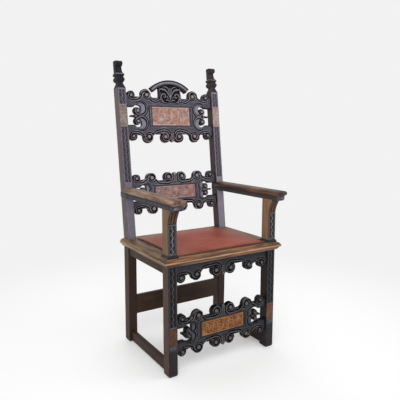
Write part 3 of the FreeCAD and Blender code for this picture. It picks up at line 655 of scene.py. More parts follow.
def gridLines(*breaks):
    # lines of a grid from (start, step) pairs, of which the last only gives the end
    lines = []
    for (start, step), (end, _) in zip(breaks[:-1], breaks[1:]):
        count = max(1, int(round((end - start) / step)))
        lines.extend(np.linspace(start, end, count, endpoint=False))
    lines.append(breaks[-1][0])
    lines = np.unique(lines)
    return lines[np.append(np.diff(lines) > 0.3, True)]


def ridgeShares(x, z, columns, rows, height):
    # above 0.5 where the surface stands out from what is round it, below where it is a hollow
    across = max(1, int(round(3.0 / np.median(np.diff(columns)))))
    up = max(1, int(round(3.0 / np.median(np.diff(rows)))))
    smooth = height
    for axis, reach in ((0, across), (1, up), (0, across), (1, up)):
        padded = np.pad(smooth, [(reach, reach) if k == axis else (0, 0) for k in (0, 1)], mode="edge")
        smooth = sum(np.roll(padded, shift, axis) for shift in range(-reach, reach + 1)) / (2 * reach + 1)
        smooth = smooth[reach:-reach, :] if axis == 0 else smooth[:, reach:-reach]
    share = np.clip(0.5 + (height - smooth) / 3.2, 0, 1)
    i = np.clip(np.searchsorted(columns, x) - 1, 0, len(columns) - 2)
    j = np.clip(np.searchsorted(rows, z) - 1, 0, len(rows) - 2)
    a = (x - columns[i]) / (columns[i + 1] - columns[i])
    b = (z - rows[j]) / (rows[j + 1] - rows[j])
    return ((1 - a) * (1 - b) * share[i, j] + a * (1 - b) * share[i + 1, j]
            + (1 - a) * b * share[i, j + 1] + a * b * share[i + 1, j + 1])


def sculpt(columns, rows, outline, front, back, place):
    # trims a grid to the outline, gives it a front and a back and closes the rim between them
    gridX, gridZ = np.meshgrid(columns, rows, indexing="ij")
    field = outline(gridX, gridZ)
    inside = field < 0
    cornerId = np.full(field.shape, -1)
    cornerId[inside] = np.arange(inside.sum())
    total = int(inside.sum())
    xs, zs = [gridX[inside]], [gridZ[inside]]
    crossings = []
    for first, second in (((slice(None, -1), slice(None)), (slice(1, None), slice(None))),
                          ((slice(None), slice(None, -1)), (slice(None), slice(1, None)))):
        cut = inside[first] != inside[second]
        share = field[first][cut] / (field[first][cut] - field[second][cut])
        ids = np.full(cut.shape, -1)
        ids[cut] = total + np.arange(cut.sum())
        total += int(cut.sum())
        xs.append(gridX[first][cut] + share * (gridX[second][cut] - gridX[first][cut]))
        zs.append(gridZ[first][cut] + share * (gridZ[second][cut] - gridZ[first][cut]))
        crossings.append(ids)
    acrossId, upId = crossings
    whole = inside[:-1, :-1] & inside[1:, :-1] & inside[1:, 1:] & inside[:-1, 1:]
    some = (inside[:-1, :-1] | inside[1:, :-1] | inside[1:, 1:] | inside[:-1, 1:]) & ~whole
    faces = np.stack([cornerId[:-1, :-1][whole], cornerId[1:, :-1][whole], cornerId[1:, 1:][whole],
                      cornerId[:-1, 1:][whole]], 1).tolist()
    rim = []
    for i, j in np.argwhere(some):
        corners = ((i, j), (i + 1, j), (i + 1, j + 1), (i, j + 1))
        cuts = (acrossId[i, j], upId[i + 1, j], acrossId[i, j + 1], upId[i, j])
        loop, marks = [], []
        for k in range(4):
            if inside[corners[k]]:
                loop.append(int(cornerId[corners[k]]))
            if cuts[k] >= 0:
                loop.append(int(cuts[k]))
                marks.append((int(cuts[k]), bool(inside[corners[k]])))
        if len(loop) > 2:
            faces.append(loop)
            for k, (cut, leaving) in enumerate(marks):
                if leaving:
                    rim.append((cut, marks[(k + 1) % len(marks)][0]))
    x, z = np.concatenate(xs), np.concatenate(zs)
    depth = -outline(x, z)
    high, carve = front(x, z, depth)
    ridge = ridgeShares(x, z, columns, rows, -front(gridX, gridZ, np.maximum(-field, 0.8))[0])
    low = back(x, z, depth)
    points = np.vstack([place(x, high, z), place(x, low, z)])
    count = len(x)
    faces += [[corner + count for corner in reversed(face)] for face in faces]
    faces += [[b, a, a + count, b + count] for a, b in rim]
    plain = np.full(count, 0.5)
    return points, faces, {"carve": np.concatenate([carve, plain]), "ridge": np.concatenate([ridge, plain])}


# Scroll rails

railLook = {
    "fieldDepth": 3.0,
    "ribbonShare": 0.33,
    "ribbonHeight": 1.6,
    "grooveDepth": 4.2,
    # painted shade in the gouged lines and the volutes' rings
    "grooveTone": 0.60,
    "grooveShare": 0.71,
    "eyeShare": 0.37,
    "eyeHeight": 3.0,
    "ringShare": 0.62,
    # painted shade along the rounded rims
    "rimDark": 0.16,
    "rimDarkReach": 5.0,
    "rimSoft": 1.3,
    "rimReach": 3.0,
    "backSoft": 1.2,
    "backMarks": 0.3,
    "toolMarks": 0.12,
    "step": 1.5,
}
volutes = {  # place as a share of the half span, radius
    "outer": (0.879, 19.5),
    "middle": (0.552, 25.5),
    "centre": (0.156, 24.5),
}
eyeShifts = {"outer": (-0.5, 0.3), "middle": (-3.5, 1.0), "centre": (1.2, 1.0)}  # across, share of eyeLift
leaf = {"halfWidth": 9.0, "drop": 2.0, "length": 44.0, "height": 1.7, "cut": 2.2, "pitch": 8.0, "tone": 0.34,
        "tips": ((0, 5, 5), (5.2, 9.5, 4.6))}  # each tip: across, down from the top, radius
stretcherRow = {"overReach": 26.5, "eyeLift": 1.5, "outerDrop": 4.0, "outerNotch": 1.15, "innerNotch": 1.46,
                "coves": (0.45, 0.60)}
crestRow = {"overReach": 32.0, "eyeLift": -3.5, "outerDrop": 12.0, "outerNotch": 1.49, "innerNotch": 1.60,
            "coves": (0.45, 0.60)}
ears = {
    "crest": {"radius": 17.5, "across": 0.764, "spacing": 24.0, "slot": 7.5, "tongue": 41.5, "spur": 0.91,
              "rim": (162.0, 34.0, 33.0), "sink": 3.8},
    "middle": {"radius": 16.0, "across": 0.742, "spacing": 16.0, "slot": 7.0, "tongue": 31.0, "spur": 0.88,
               "rim": (160.0, 22.5, 25.5), "sink": 3.6},
    "front": {"radius": 14.5, "across": 0.753, "spacing": 11.0, "slot": 10.0, "tongue": 29.0, "spur": 0.88,
              "rim": (161.0, 18.5, 25.5), "sink": 3.6},
}
earShape = {"shift": 0.30, "window": 0.675, "spurHalf": 0.55, "tipInset": 4.6, "tipRadius": 4.4, "eyeX": -2.0,
            "eyeZ": 0.5, "eyeShare": 1.12}
plaques = {"halfWidth": 108.0, "sideFrame": 14.0, "edgeFrame": 8.5, "thickness": 6.5, "crestHalfHeight": 43.5,
           "stretcherHalfHeight": 31.0, "crestOpening": 102.0, "pocket": 8.5, "behindFrame": 2.5, "lift": 1.4,
           "border": 6.0}


def rowPlaces(halfHeight, row, withCentre=True):
    # middles and radii of the volutes, the shift of their bosses, and the heights of the two flat floors
    places = {}
    for name, (share, radius) in volutes.items():
        drop = row["outerDrop"] if name == "outer" else 0
        places[name] = ((share * chair["halfSpan"], halfHeight - drop - radius), radius)
    radius, lift = volutes["middle"][1], row["eyeLift"]
    places.update(shown=("outer", "middle", "centre") if withCentre else ("outer", "middle"),
                  eyes={name: (across, share * lift) for name, (across, share) in eyeShifts.items()},
                  overReach=row["overReach"], outerFloor=halfHeight - row["outerNotch"] * radius,
                  innerFloor=halfHeight - row["innerNotch"] * radius, coves=row["coves"],
                  bridgeEnd=places["outer"][0][0], under=-4, tip=halfHeight - leaf["drop"])
    return places


def coveShape(x, z, volute, floor, share, side):
    (middleX, middleZ), radius = volute
    curve = share * radius
    above = middleZ - floor
    reach = math.sqrt((radius + curve) ** 2 - (curve - above) ** 2)
    curveX = middleX + side * reach
    top = middleZ + (curve - above) * radius / (radius + curve)
    solid = block(x, z, min(middleX, curveX), max(middleX, curveX), floor - 4, top)
    return np.maximum(solid, curve - np.hypot(x - curveX, z - floor - curve))


def rowShape(x, z, places):
    # half a row of volutes on its floors, with the split leaf in the middle
    outer, middle, centre = places["outer"], places["middle"], places["centre"]
    under, tip = places["under"], places["tip"]
    shapes = [
        block(x, z, -4, railEnd, under, places["innerFloor"]),
        block(x, z, middle[0][0], places["bridgeEnd"], under, places["outerFloor"]),
        block(x, z, outer[0][0], railEnd, under, outer[0][1]),
        coveShape(x, z, middle, places["outerFloor"], places["coves"][0], 1),
        disc(x, z, *outer),
        disc(x, z, *middle),
    ]
    if "centre" in places["shown"]:
        shapes += [
            disc(x, z, *centre),
            coveShape(x, z, middle, places["innerFloor"], places["coves"][1], -1),
            block(x, z, -4, leaf["halfWidth"], 0, tip - leaf["halfWidth"]),
            *(disc(x, z, (across, tip - down), radius) for across, down, radius in leaf["tips"]),
        ]
    return joined(*shapes)


def earOpening(x, z, ear):
    # a crescent slot round each ear, and the gap between the two ears with a spur in it
    span = chair["halfSpan"]
    z = np.abs(z)
    middle = (ear["across"] * span, ear["spacing"])
    slotRadius = ear["radius"] + ear["slot"]
    shift = earShape["shift"] * ear["slot"]
    window = block(x, z, earShape["window"] * span, span + 9, ear["spacing"], ear["spacing"] + 2 * slotRadius)
    slot = np.maximum(disc(x, z, (middle[0] - shift, middle[1] + shift), slotRadius), window)
    gap = block(x, z, middle[0], span + 9, -ear["tongue"], ear["tongue"])
    tip = ear["spur"] * span
    spur = z - earShape["spurHalf"] * ear["radius"] * (tip - x) / (tip - middle[0])
    spurTip = disc(x, z, (tip - earShape["tipInset"], 0), earShape["tipRadius"])
    keep = joined(disc(x, z, middle, ear["radius"]), np.maximum(spur, middle[0] - x), spurTip)
    return np.maximum(joined(slot, gap), -keep)


def eyeOf(places, name):
    # where a volute's boss sits, and the volute's radius
    (x, z), radius = places[name]
    right, lift = places["eyes"][name]
    return (x + right, z + lift), radius


def rowStrokes(places, bay=None):
    # the ribbons of a half row: one links the outer and middle volutes, one leads the centre volute outwards,
    # and one goes round the bay of the crest; curls give shares of a radius, degrees and half widths
    (ox, oz), outerRadius = eyeOf(places, "outer")
    (mx, mz), middleRadius = eyeOf(places, "middle")
    floor = places["outerFloor"]
    slim, wide = railLook["ribbonShare"] * outerRadius, railLook["ribbonShare"] * middleRadius
    link = curl((ox, oz), (0.58 * outerRadius, 0.80 * outerRadius), (215, -80), (0.7 * slim, slim), 12)
    between = 0.5 * (ox + mx)
    link += [(ox - 12, oz - 0.80 * outerRadius - 1, slim), (between + 12, floor - 9, wide * 0.95),
             (between + 1, floor - 3, wide)]
    link += curl((mx, mz), (32.5, 25.5), (-6, 52), (wide, wide), 4)
    link += curl((mx, mz), (22.5, 0.74 * middleRadius), (90, 180), (wide, wide * 0.92), 4)
    link += curl((mx, mz), (0.70 * middleRadius, 0.54 * middleRadius), (205, 350),
                 (wide * 0.9, wide * 0.65), 7)
    strokes = [link]
    if "centre" in places["shown"]:
        (cx, cz), centreRadius = eyeOf(places, "centre")
        inner, over = places["innerFloor"], places["overReach"]
        lead = curl((cx, cz), (0.60 * centreRadius, 0.72 * centreRadius), (-90, 60),
                    (0.6 * wide, wide * 0.9), 7)
        lead += curl((cx, cz), (0.78 * centreRadius, over), (90, 270), (wide * 0.9, wide), 9)
        top = cz - over
        lead += [(cx + 14, top + 0.5, wide), (cx + 31, 0.6 * top + 0.4 * (inner - 8), wide),
                 (mx - 40, inner - 9.5, wide), (mx - 29, inner - 1.5, wide * 0.9),
                 (mx - 21.5, mz - 6, wide * 0.6)]
        strokes.append(lead)
    if bay:
        (bx, bz), bayRadius = bay
        reach = bayRadius + wide + 0.5
        ring = curl((bx, bz), (reach, reach), (-5, -180), (wide, wide * 0.8), 9)
        strokes.append([(bx + reach, bz + 8, 0.5 * wide), *ring, (bx - reach, bz + 16, 0.6 * wide)])
    return [smoothPath(stroke, 4) for stroke in strokes]


def earEye(ear):
    return ear["across"] * chair["halfSpan"] + earShape["eyeX"], ear["spacing"] + earShape["eyeZ"]


def earStrokes(ear):
    # the C scroll round an ear, from the post round the hollow and into its disc
    (x, z), r = earEye(ear), ear["radius"]
    rimX, rimZ, rim = ear["rim"]
    w = 0.42 * r + 0.8
    scroll = curl((rimX, rimZ), (rim, rim), (50, 250), (2.2, w + 1.0), 13)
    scroll += [(x - 12, 3.4, w), (x - 1, z - 0.95 * r, w)]
    scroll += curl((x, z), (0.80 * r, 0.58 * r), (-50, 265), (w, 0.6 * w), 12)
    return [smoothPath(scroll, 4)]


def voluteRelief(x, z, middle, radius, height, dark):
    # a sunk ring with painted shade in it, and a flat boss in the middle of a volute
    away = disc(x, z, middle, 0)
    eye, ring = railLook["eyeShare"] * radius, railLook["ringShare"] * radius
    deep = railLook["grooveDepth"]
    sunk = np.where(away < ring, np.minimum(height, -deep * eased(away, ring, 0.8 * ring)), height)
    boss = (railLook["eyeHeight"] + deep) * domed(2.2 * (1 - away / eye)) - deep
    dark = np.where(away < ring, railLook["grooveTone"] * eased(away, 0.95 * eye, 1.05 * eye), dark)
    return np.where(away < eye, np.maximum(sunk, boss), sunk), dark


def withRibbons(height, share):
    # a rounded ridge with a gouged line on both sides of it, the line dark with painted shade
    edge = railLook["grooveShare"]
    line = np.sin(math.pi * np.clip(share / edge, 0, 1)) ** 0.4
    level = height * (1 - eased(share, 0.35, edge))
    ridge = railLook["ribbonHeight"] * eased(share, edge - 0.07, 0.88)
    return level - railLook["grooveDepth"] * line + ridge, railLook["grooveTone"] * line


def leafRelief(x, z, tip, height, dark):
    # the split leaf between the two centre volutes: two lobes with a cleft between them and slanting veins
    vein = np.abs(x)
    inside = (vein < leaf["halfWidth"] + 0.5) & (z > tip - leaf["length"]) & (z < tip + 1)
    slant = 0.5 + 0.5 * np.sin(2 * math.pi * (tip - z + 0.8 * vein) / leaf["pitch"])
    cuts = np.maximum(eased(3.2 - vein, 0, 1.6), eased(slant, 0.45, 0.8))
    lobes = leaf["height"] * eased(leaf["halfWidth"] - vein, 0, 2.0) - leaf["cut"] * cuts
    # painted shade in the leaf's cuts
    return np.where(inside, lobes, height), np.where(inside, leaf["tone"] * cuts, dark)


def railRelief(x, z, rows, ear=None):
    # height and painted shade of the carving; rows holds an upward and a downward row, ear the pierced ends
    halfX, halfZ = np.abs(x), np.abs(z)
    height = railLook["toolMarks"] * handWork(x, z)
    band = np.maximum.reduce([strokesShare(halfX, sign * z, strokes) for sign, places, strokes in rows])
    if ear:
        rimX, rimZ, rim = ear["rim"]
        height = np.minimum(height, -ear["sink"] * eased(-disc(halfX, halfZ, (rimX, rimZ), rim), 1.0, 9.0))
        band = np.maximum(band, strokesShare(halfX, halfZ, earStrokes(ear)))
    height, dark = withRibbons(height, band)
    for sign, places, strokes in rows:
        for name in places["shown"]:
            height, dark = voluteRelief(halfX, sign * z, *eyeOf(places, name), height, dark)
    if ear:
        height, dark = voluteRelief(halfX, halfZ, earEye(ear), ear["radius"] * earShape["eyeShare"], height,
                                     dark)
    for sign, places, strokes in rows:
        if "centre" in places["shown"]:
            height, dark = leafRelief(x, sign * z, places["tip"], height, dark)
    return height, dark


def carvedRail(name, node, place, outline, relief, reach, finish):
    columns = gridLines((-railEnd - 1, railLook["step"]), (railEnd + 1, 0))
    rows = gridLines((reach[0], railLook["step"]), (reach[1], 0))

    def front(x, z, depth):
        height, dark = relief(x, z)
        rounded = height - softened(railLook["rimSoft"], depth, railLook["rimReach"])
        # painted shade along the rims
        dark = dark + railLook["rimDark"] * eased(depth, railLook["rimDarkReach"], 1.5)
        return railLook["fieldDepth"] - rounded, np.clip(0.5 + height / 8 + dark * (height < 2), 0, 1)

    def back(x, z, depth):
        marks = railLook["backMarks"] * (1 + np.clip(handWork(x, z, 0.6), -1, 1))
        return chair["railThickness"] - softened(railLook["backSoft"], depth, 2.5) - marks

    return addPiece(name, sculpt(columns, rows, outline, front, back, place), finish, node)


def pocketed(x, z, height, halfHeight):
    # the seat of the plaque's frame
    inside = block(np.abs(x), np.abs(z), -9, plaques["halfWidth"] + plaques["sideFrame"] - 2, -9,
                   halfHeight + plaques["edgeFrame"] - 2)
    return np.where(inside < 0, -plaques["pocket"], height)


def stretcherRail(name, node, place, halves, ear, finish):
    rows = []
    for sign, half in zip((1, -1), halves):
        places = rowPlaces(half, stretcherRow)
        rows.append((sign, places, rowStrokes(places)))

    def outline(x, z):
        half = np.abs(x)
        body = joined(*(rowShape(half, sign * z, places) for sign, places, strokes in rows))
        return np.maximum(np.maximum(body, -earOpening(half, z, ear)), half - railEnd)

    def relief(x, z):
        height, dark = railRelief(x, z, rows, ear)
        return pocketed(x, z, height, plaques["stretcherHalfHeight"]), dark

    return carvedRail(name, node, place, outline, relief, (-halves[1] - 2, halves[0] + 2), finish)


stretcherRail("middleScrollRail", "middle_rail", backPlace(chair["middleRailUp"], recess), (97.5, 97.5),
              ears["middle"], "carvedBack")
stretcherRail("frontScrollStretcher", "front_stretcher", frontPlace(chair["frontRailUp"], recess),
              (89.5, 98.0), ears["front"], "carvedFront")
print("scroll stretchers are carved")


# Crest: a scroll rail with a tympanum of leaves under an arch

crestSpec = {
    "up": 567.2,
    "topHalf": 127.5,
    "bottomHalf": 126.0,
    "archDegrees": 41.0,
    "archThickness": 24.0,
    "archSpan": 0.808,
    "archEndRise": 5.2,
    "tympanumShare": 0.451,
    "tympanumDepth": 3.2,
    "tympanumTone": 0.58,
    "leafHeight": 6.2,
}
tympanumLeaves = (  # across, up from the middle volutes and half width, for one half
    ((0, -42, 3.0), (12, -39, 3.6), (30, -38, 4.0), (45, -29, 4.0), (50, -12, 3.8), (43, 3, 3.6),
     (31, 4, 3.4), (25, -7, 3.0), (32, -14, 2.6), (38, -7, 1.6)),
    ((0, -24, 2.0), (4, -8, 3.4), (11, 6, 4.2), (20, 18, 4.4), (32, 25, 5.0), (48, 27, 3.6), (56, 24, 1.0)),
    ((0, -14, 2.0), (1.5, 2, 3.2), (7, 18, 3.2), (9, 30, 1.0)),
    ((0, 12, 1.6), (0, 22, 4.4), (0, 34, 1.4)),
    ((6, 24, 1.6), (14, 34, 3.2), (27, 38, 2.4), (40, 35, 0.8)),
    ((2, -34, 1.6), (10, -26, 3.4), (20, -24, 3.0), (26, -28, 1.0)),
    ((9, -18, 1.2), (15, -12, 2.8), (17, -1, 1.0)),
    ((54, -34, 2.0), (56, -10, 3.0), (55, 14, 1.4)),
)


def archCircle(values):
    halfChord = values["archSpan"] * volutes["middle"][0] * chair["halfSpan"]
    angle = math.radians(values["archDegrees"])
    radius = halfChord / math.sin(angle)
    return values["topHalf"] + values["archEndRise"] - radius * math.cos(angle), radius


def crestRail(values):
    top, bottom = rowPlaces(values["topHalf"], crestRow, False), rowPlaces(values["bottomHalf"], crestRow)
    middle, middleRadius = top["middle"]
    edge = values["tympanumShare"] * middle[0]
    bayRadius = (middle[0] - middleRadius - edge) / 2
    bay = ((edge + bayRadius, middle[1]), bayRadius)
    archZ, archRadius = archCircle(values)
    rows = ((1, top, rowStrokes(top, bay)), (-1, bottom, rowStrokes(bottom)))
    leaves = [smoothPath(np.array(stroke) + (0, middle[1], 0), 5) for stroke in tympanumLeaves]

    def outline(x, z):
        half = np.abs(x)
        shoulder = np.maximum(block(half, z, -4, middle[0], -4, bay[0][1]), -disc(half, z, *bay))
        field = np.maximum(block(half, z, -4, edge, -4, 300), disc(half, z, (0, archZ), archRadius - 6))
        body = joined(rowShape(half, z, top), rowShape(half, -z, bottom), shoulder, field)
        return np.maximum(np.maximum(body, -earOpening(half, z, ears["crest"])), half - railEnd)

    def relief(x, z):
        height, dark = railRelief(x, z, rows, ears["crest"])
        half = np.abs(x)
        share = strokesShare(half, z, leaves)
        sunk = -values["tympanumDepth"] * eased(edge - half, 0, 5) * eased(z, middle[1] - 42, middle[1] - 36)
        veined = values["leafHeight"] * eased(share, 0, 0.45) - 1.2 * eased(share, 0.7, 0.95)
        inside = (half < edge) & (z > middle[1] - 38)
        height = np.where(inside, np.maximum(np.minimum(height, sunk), sunk + veined), height)
        # painted shade on the sunk ground under the arch
        dark = np.where(inside, values["tympanumTone"] * eased(-height, 0.0, 1.6), dark)
        return pocketed(x, z, height, plaques["crestHalfHeight"]), dark

    return carvedRail("crestScrollRail", "crest_rail", backPlace(values["up"], recess), outline, relief,
                      (-values["bottomHalf"] - 2, archZ + archRadius), "carvedBack")


crestRail(crestSpec)
print("crest is carved")


# Apron: one row of volutes that hangs from the seat

apronSpec = {
    "drop": 76.0,
    "outer": (0.895, 21.0),
    "middle": (0.583, 23.5),
    "centre": (0.156, 25.0),
    "outerFloor": 0.620,
    "innerFloor": 0.460,
    "coves": (0.50, 0.50),
    "overReach": 27.0,
    "eyes": {"outer": (0, -1.0), "middle": (-2.0, -1.5), "centre": (1.0, -1.5)},
}


def apronRail(values):
    # drawn with up pointing down from the seat, so that its row of volutes reads like the rails' rows
    drop, shown = values["drop"], ("outer", "middle", "centre")
    places = dict(values, shown=shown, bridgeEnd=railEnd, under=-2, tip=drop,
                  outerFloor=values["outerFloor"] * drop, innerFloor=values["innerFloor"] * drop)
    for name in shown:
        share, radius = values[name]
        places[name] = ((share * chair["halfSpan"], drop - radius), radius)
    rows = ((1, places, rowStrokes(places)),)

    def outline(x, z):
        return np.maximum(rowShape(np.abs(x), z, places), np.abs(x) - railEnd)

    def relief(x, z):
        return railRelief(x, z, rows)

    def place(across, deep, up):
        return np.stack([across, deep + recess, chair["seatUnderside"] - up], 1)

    return carvedRail("carvedApron", "front_apron", place, outline, relief, (-2, drop + 2), "carvedFront")


apronRail(apronSpec)
print("apron is carved")


# Arched cornice of the crest

corniceSection = (  # distance out from the arch's underside, depth, painted highlight (high) and shade (low)
    (24.0, 26.0, 0.44), (24.0, -2.5, 0.40), (19.8, -2.5, 0.40), (19.0, -1.4, 0.14), (18.2, -1.2, 0.54),
    (17.2, -0.8, 0.84), (14.6, 0.0, 0.89), (11.6, 0.9, 0.84), (9.0, 1.0, 0.76), (8.0, 2.2, 0.19),
    (7.2, 2.2, 0.19), (6.4, 1.0, 0.54), (4.4, 1.0, 0.60), (3.4, 2.0, 0.34), (1.4, 2.4, 0.46),
    (0.0, 3.4, 0.34), (0.0, 26.0, 0.44))


def archedCornice(values, section, steps=61):
    archZ, radius = archCircle(values)
    rise, deep, lightAndWear = np.array(section).T
    reach = radius - values["archThickness"] + rise
    place = backPlace(values["up"], recess)
    turns = np.radians(np.linspace(-values["archDegrees"], values["archDegrees"], steps))
    points = [place(reach * math.sin(turn), deep, archZ + reach * math.cos(turn)) for turn in turns]
    # painted shade in the dark fillets, painted highlight on the bands that catch the light
    shades = {"carve": np.tile(np.where(lightAndWear < 0.49, 0.68, 0.5), steps), "ridge": np.tile(lightAndWear, steps)}
    made = np.vstack(points), sweptFaces(steps, len(section)), shades
    return addPiece("crestCornice", made, "carvedBack", "crest_cornice", sharpDegrees=30)


archedCornice(crestSpec, corniceSection)


# Plaques, their frames and the small inlays

frameSection = (  # share across the frame from the plaque outwards, depth, painted highlight (high) and shade (low)
    (0, 9, 0.3), (0, 2.8, 0.3), (0.10, 2.4, 0.60), (0.24, 2.4, 0.52), (0.30, 3.6, 0.12), (0.36, 3.6, 0.12),
    (0.40, 1.0, 0.60), (0.50, 0.1, 0.74), (0.62, 0.1, 0.70), (0.70, 1.6, 0.42), (0.76, 3.0, 0.12),
    (0.82, 2.6, 0.2), (0.86, 0.9, 0.60), (0.95, 0.9, 0.62), (1, 1.7, 0.5), (1, 9, 0.4))


def plaqueFrame(name, node, place, halfHeight, halfX, finish):
    edgeX, edgeZ = plaques["halfWidth"] + plaques["sideFrame"], halfHeight + plaques["edgeFrame"]
    points, ridge = [], []
    for share, deep, lightAndWear in frameSection:
        x = halfX + share * (edgeX - halfX)
        z = halfHeight + share * (edgeZ - halfHeight)
        points.append(place(*np.array([(-x, deep, -z), (x, deep, -z), (x, deep, z), (-x, deep, z)]).T))
        ridge += [lightAndWear] * 4
    shades = {"carve": [0.5] * len(ridge), "ridge": ridge}
    return addPiece(name, (np.vstack(points), sweptFaces(len(frameSection), 4, True), shades), finish, node,
                    sharpDegrees=25)


def arabesque(halfX, halfZ):
    # a vine that leaves the middle on both sides, with a curl in each bend and small leaves between
    size = halfZ * 0.46
    bends = max(2, int(round(halfX / (2.0 * size))))
    pitch = (halfX - 10) / bends
    stem = [(0, -halfZ * 0.55, 1.8)]
    strokes = [
        stem,
        [(0, -halfZ * 0.6, 1.2), (0, -halfZ * 0.1, 3.6), (0, halfZ * 0.45, 1.0)],
        [(0, halfZ * 0.35, 1.0), (5, halfZ * 0.55, 2.6), (3, halfZ * 0.82, 0.8)],
        [(1.5, -halfZ * 0.25, 1.0), (7, 0, 2.2), (6, halfZ * 0.3, 0.8)],
    ]
    for k in range(bends):
        x, side = 8 + pitch * (k + 0.5), (-1) ** k
        up = side * halfZ
        stem += [(x - 0.30 * pitch, -up * 0.78, 1.8), (x + 0.30 * pitch, -up * 0.72, 2.0)]
        strokes += [
            curl((x, up * 0.08), (size, size * 0.30), (-110 * side, 300 * side), (2.3, 1.4), 16),
            [(x + 0.36 * pitch, up * 0.40, 0.8), (x + 0.46 * pitch, up * 0.62, 2.6),
             (x + 0.34 * pitch, up * 0.80, 0.8)],
            [(x - 0.20 * pitch, up * 0.86, 0.8), (x, up * 0.74, 2.4), (x + 0.18 * pitch, up * 0.86, 0.8)],
            [(x - 2, up * 0.08, 1.5), (x + 2, up * 0.08, 2.4), (x + 4, up * 0.08 + 1, 1.0)],
        ]
    return [smoothPath(stroke, 4) for stroke in strokes]


def reliefPanel(name, node, place, halfX, halfZ, thickness, finish, lift, border, step=1.5):
    # a thin board with low arabesque relief inside a plain border
    strokes = arabesque(halfX - border, halfZ - border)

    def outline(x, z):
        return block(x, z, -halfX, halfX, -halfZ, halfZ)

    def front(x, z, depth):
        share = strokesShare(np.abs(x), z, strokes)
        height = lift * eased(share, -0.1, 0.5) - 0.35 * lift * eased(share, 0.6, 1.0)
        edge = lift * 0.8 * eased(depth, border, border - 1.5)
        height = np.maximum(height, edge) - softened(0.5, depth, 1.5) + 0.12 * handWork(x * 2, z * 2)
        return lift - height, np.clip(0.35 + 0.4 * height / lift, 0, 1)

    def back(x, z, depth):
        return np.full(x.shape, thickness)

    columns = gridLines((-halfX - step, step), (halfX + step, 0))
    rows = gridLines((-halfZ - step, step), (halfZ + step, 0))
    return addPiece(name, sculpt(columns, rows, outline, front, back, place), finish, node, "plaque_wood")


for part, placeOf, up, size, opening, finish in (
        ("crest", backPlace, crestSpec["up"], "crestHalfHeight", "crestOpening", "carvedBack"),
        ("middle", backPlace, chair["middleRailUp"], "stretcherHalfHeight", "halfWidth", "carvedBack"),
        ("front", frontPlace, chair["frontRailUp"], "stretcherHalfHeight", "halfWidth", "carvedFront")):
    plaqueFrame(part + "PlaqueFrame", part + "_plaque_frame", placeOf(up, recess), plaques[size],
                plaques[opening], finish)
    reliefPanel(part + "Plaque", part + "_plaque", placeOf(up, recess + plaques["behindFrame"]),
                plaques["halfWidth"], plaques[size], plaques["thickness"], part + "Plaque", plaques["lift"],
                plaques["border"])
print("plaques are made")

inlays = {"margin": 2.0, "thickness": 3.0, "backHalf": 47.5, "legHalf": 38.0, "legMiddle": 170.0, "lift": 1.0,
          "border": 3.0, "step": 1.3}
inlayHalf = legWidth / 2 - inlays["margin"]
for side, word, shade in sides:
    for piece, node, place, half, part in (
            ("backPostInlay_", "back_post_inlay_", backPlace(crestSpec["up"]), "backHalf", "back"),
            ("frontLegInlay_", "front_leg_inlay_", frontPlace(inlays["legMiddle"]), "legHalf", "leg")):
        reliefPanel(piece + word, node + word, shifted(place, side * postMiddle), inlayHalf, inlays[half],
                    inlays["thickness"], part + word.title() + "Plaque", inlays["lift"], inlays["border"],
                    inlays["step"])
print("inlays are made")


# Posts and legs, with a carved strip on their fronts

stripLook = {"margin": 6.5, "period": 30.0, "sink": 2.6, "ground": 0.9, "stemWidth": 2.1, "stemSway": 2.6,
             "top": 0.73, "step": 1.5, "plainStep": 9.0}
stripTones = {"Posts": (0.46, 0.53), "Legs": (0.56, 0.49), "ArmPosts": (0.56, 0.60)}
postLook = {"footWear": 2.4, "footReach": 7.0, "pocket": 2.6, "arris": 0.26, "round": 1.1, "roundReach": 2.6,
            "toolMarks": 0.14, "stripFrom": 262.0, "stripGap": 2.5, "legStripGap": 3.0, "step": 1.9}


def stripRelief(x, up, ranges, tones, stemHeight=1.3):
    # a wavy stem on a sunk ground, with lens-shaped gouges and leaflets on both sides, in the given ranges
    room = legWidth / 2 - stripLook["margin"]
    height = np.zeros(x.shape)
    tone = np.full(x.shape, tones[0])
    for low, high in ranges:
        period = (high - low) / max(1, int(round((high - low) / stripLook["period"])))
        ends = eased(up, low, low + 2) * eased(high - up, 0, 2)
        inside = ends * eased(room + 1.2 - np.abs(x), 0, 1.6)
        stem = x - stripLook["stemSway"] * np.sin(2 * math.pi * (up - low) / period)
        carving = stemHeight * bell(stem, stripLook["stemWidth"]) - 1.1 * bell(np.abs(stem) - 3.9, 1.1)
        for shift, side in ((0.25, -1), (0.75, 1)):
            along = (np.mod((up - low) / period - shift + 0.5, 1) - 0.5) * period
            lens = np.hypot((x - side * 7.6 - 0.28 * side * along) / 3.0, along / 8.5)
            leaflet = np.hypot((x - side * 6.8 + 0.3 * along) / 2.2, (along - 13.5) / 4.5)
            carving = carving - stripLook["sink"] * eased(lens, 1.0, 0.35) + 1.5 * eased(leaflet, 1.0, 0.4)
        height = height + inside * (carving - stripLook["ground"])
        tone = tone + ends * (tones[1] - tones[0]) + inside * (stripLook["top"] - tones[1])
    return height, tone


def postColumns():
    return gridLines((-legWidth / 2 - 1, postLook["step"]), (legWidth / 2 + 1, 0))


def roundedEdge(depth):
    return softened(postLook["round"], depth, postLook["roundReach"])


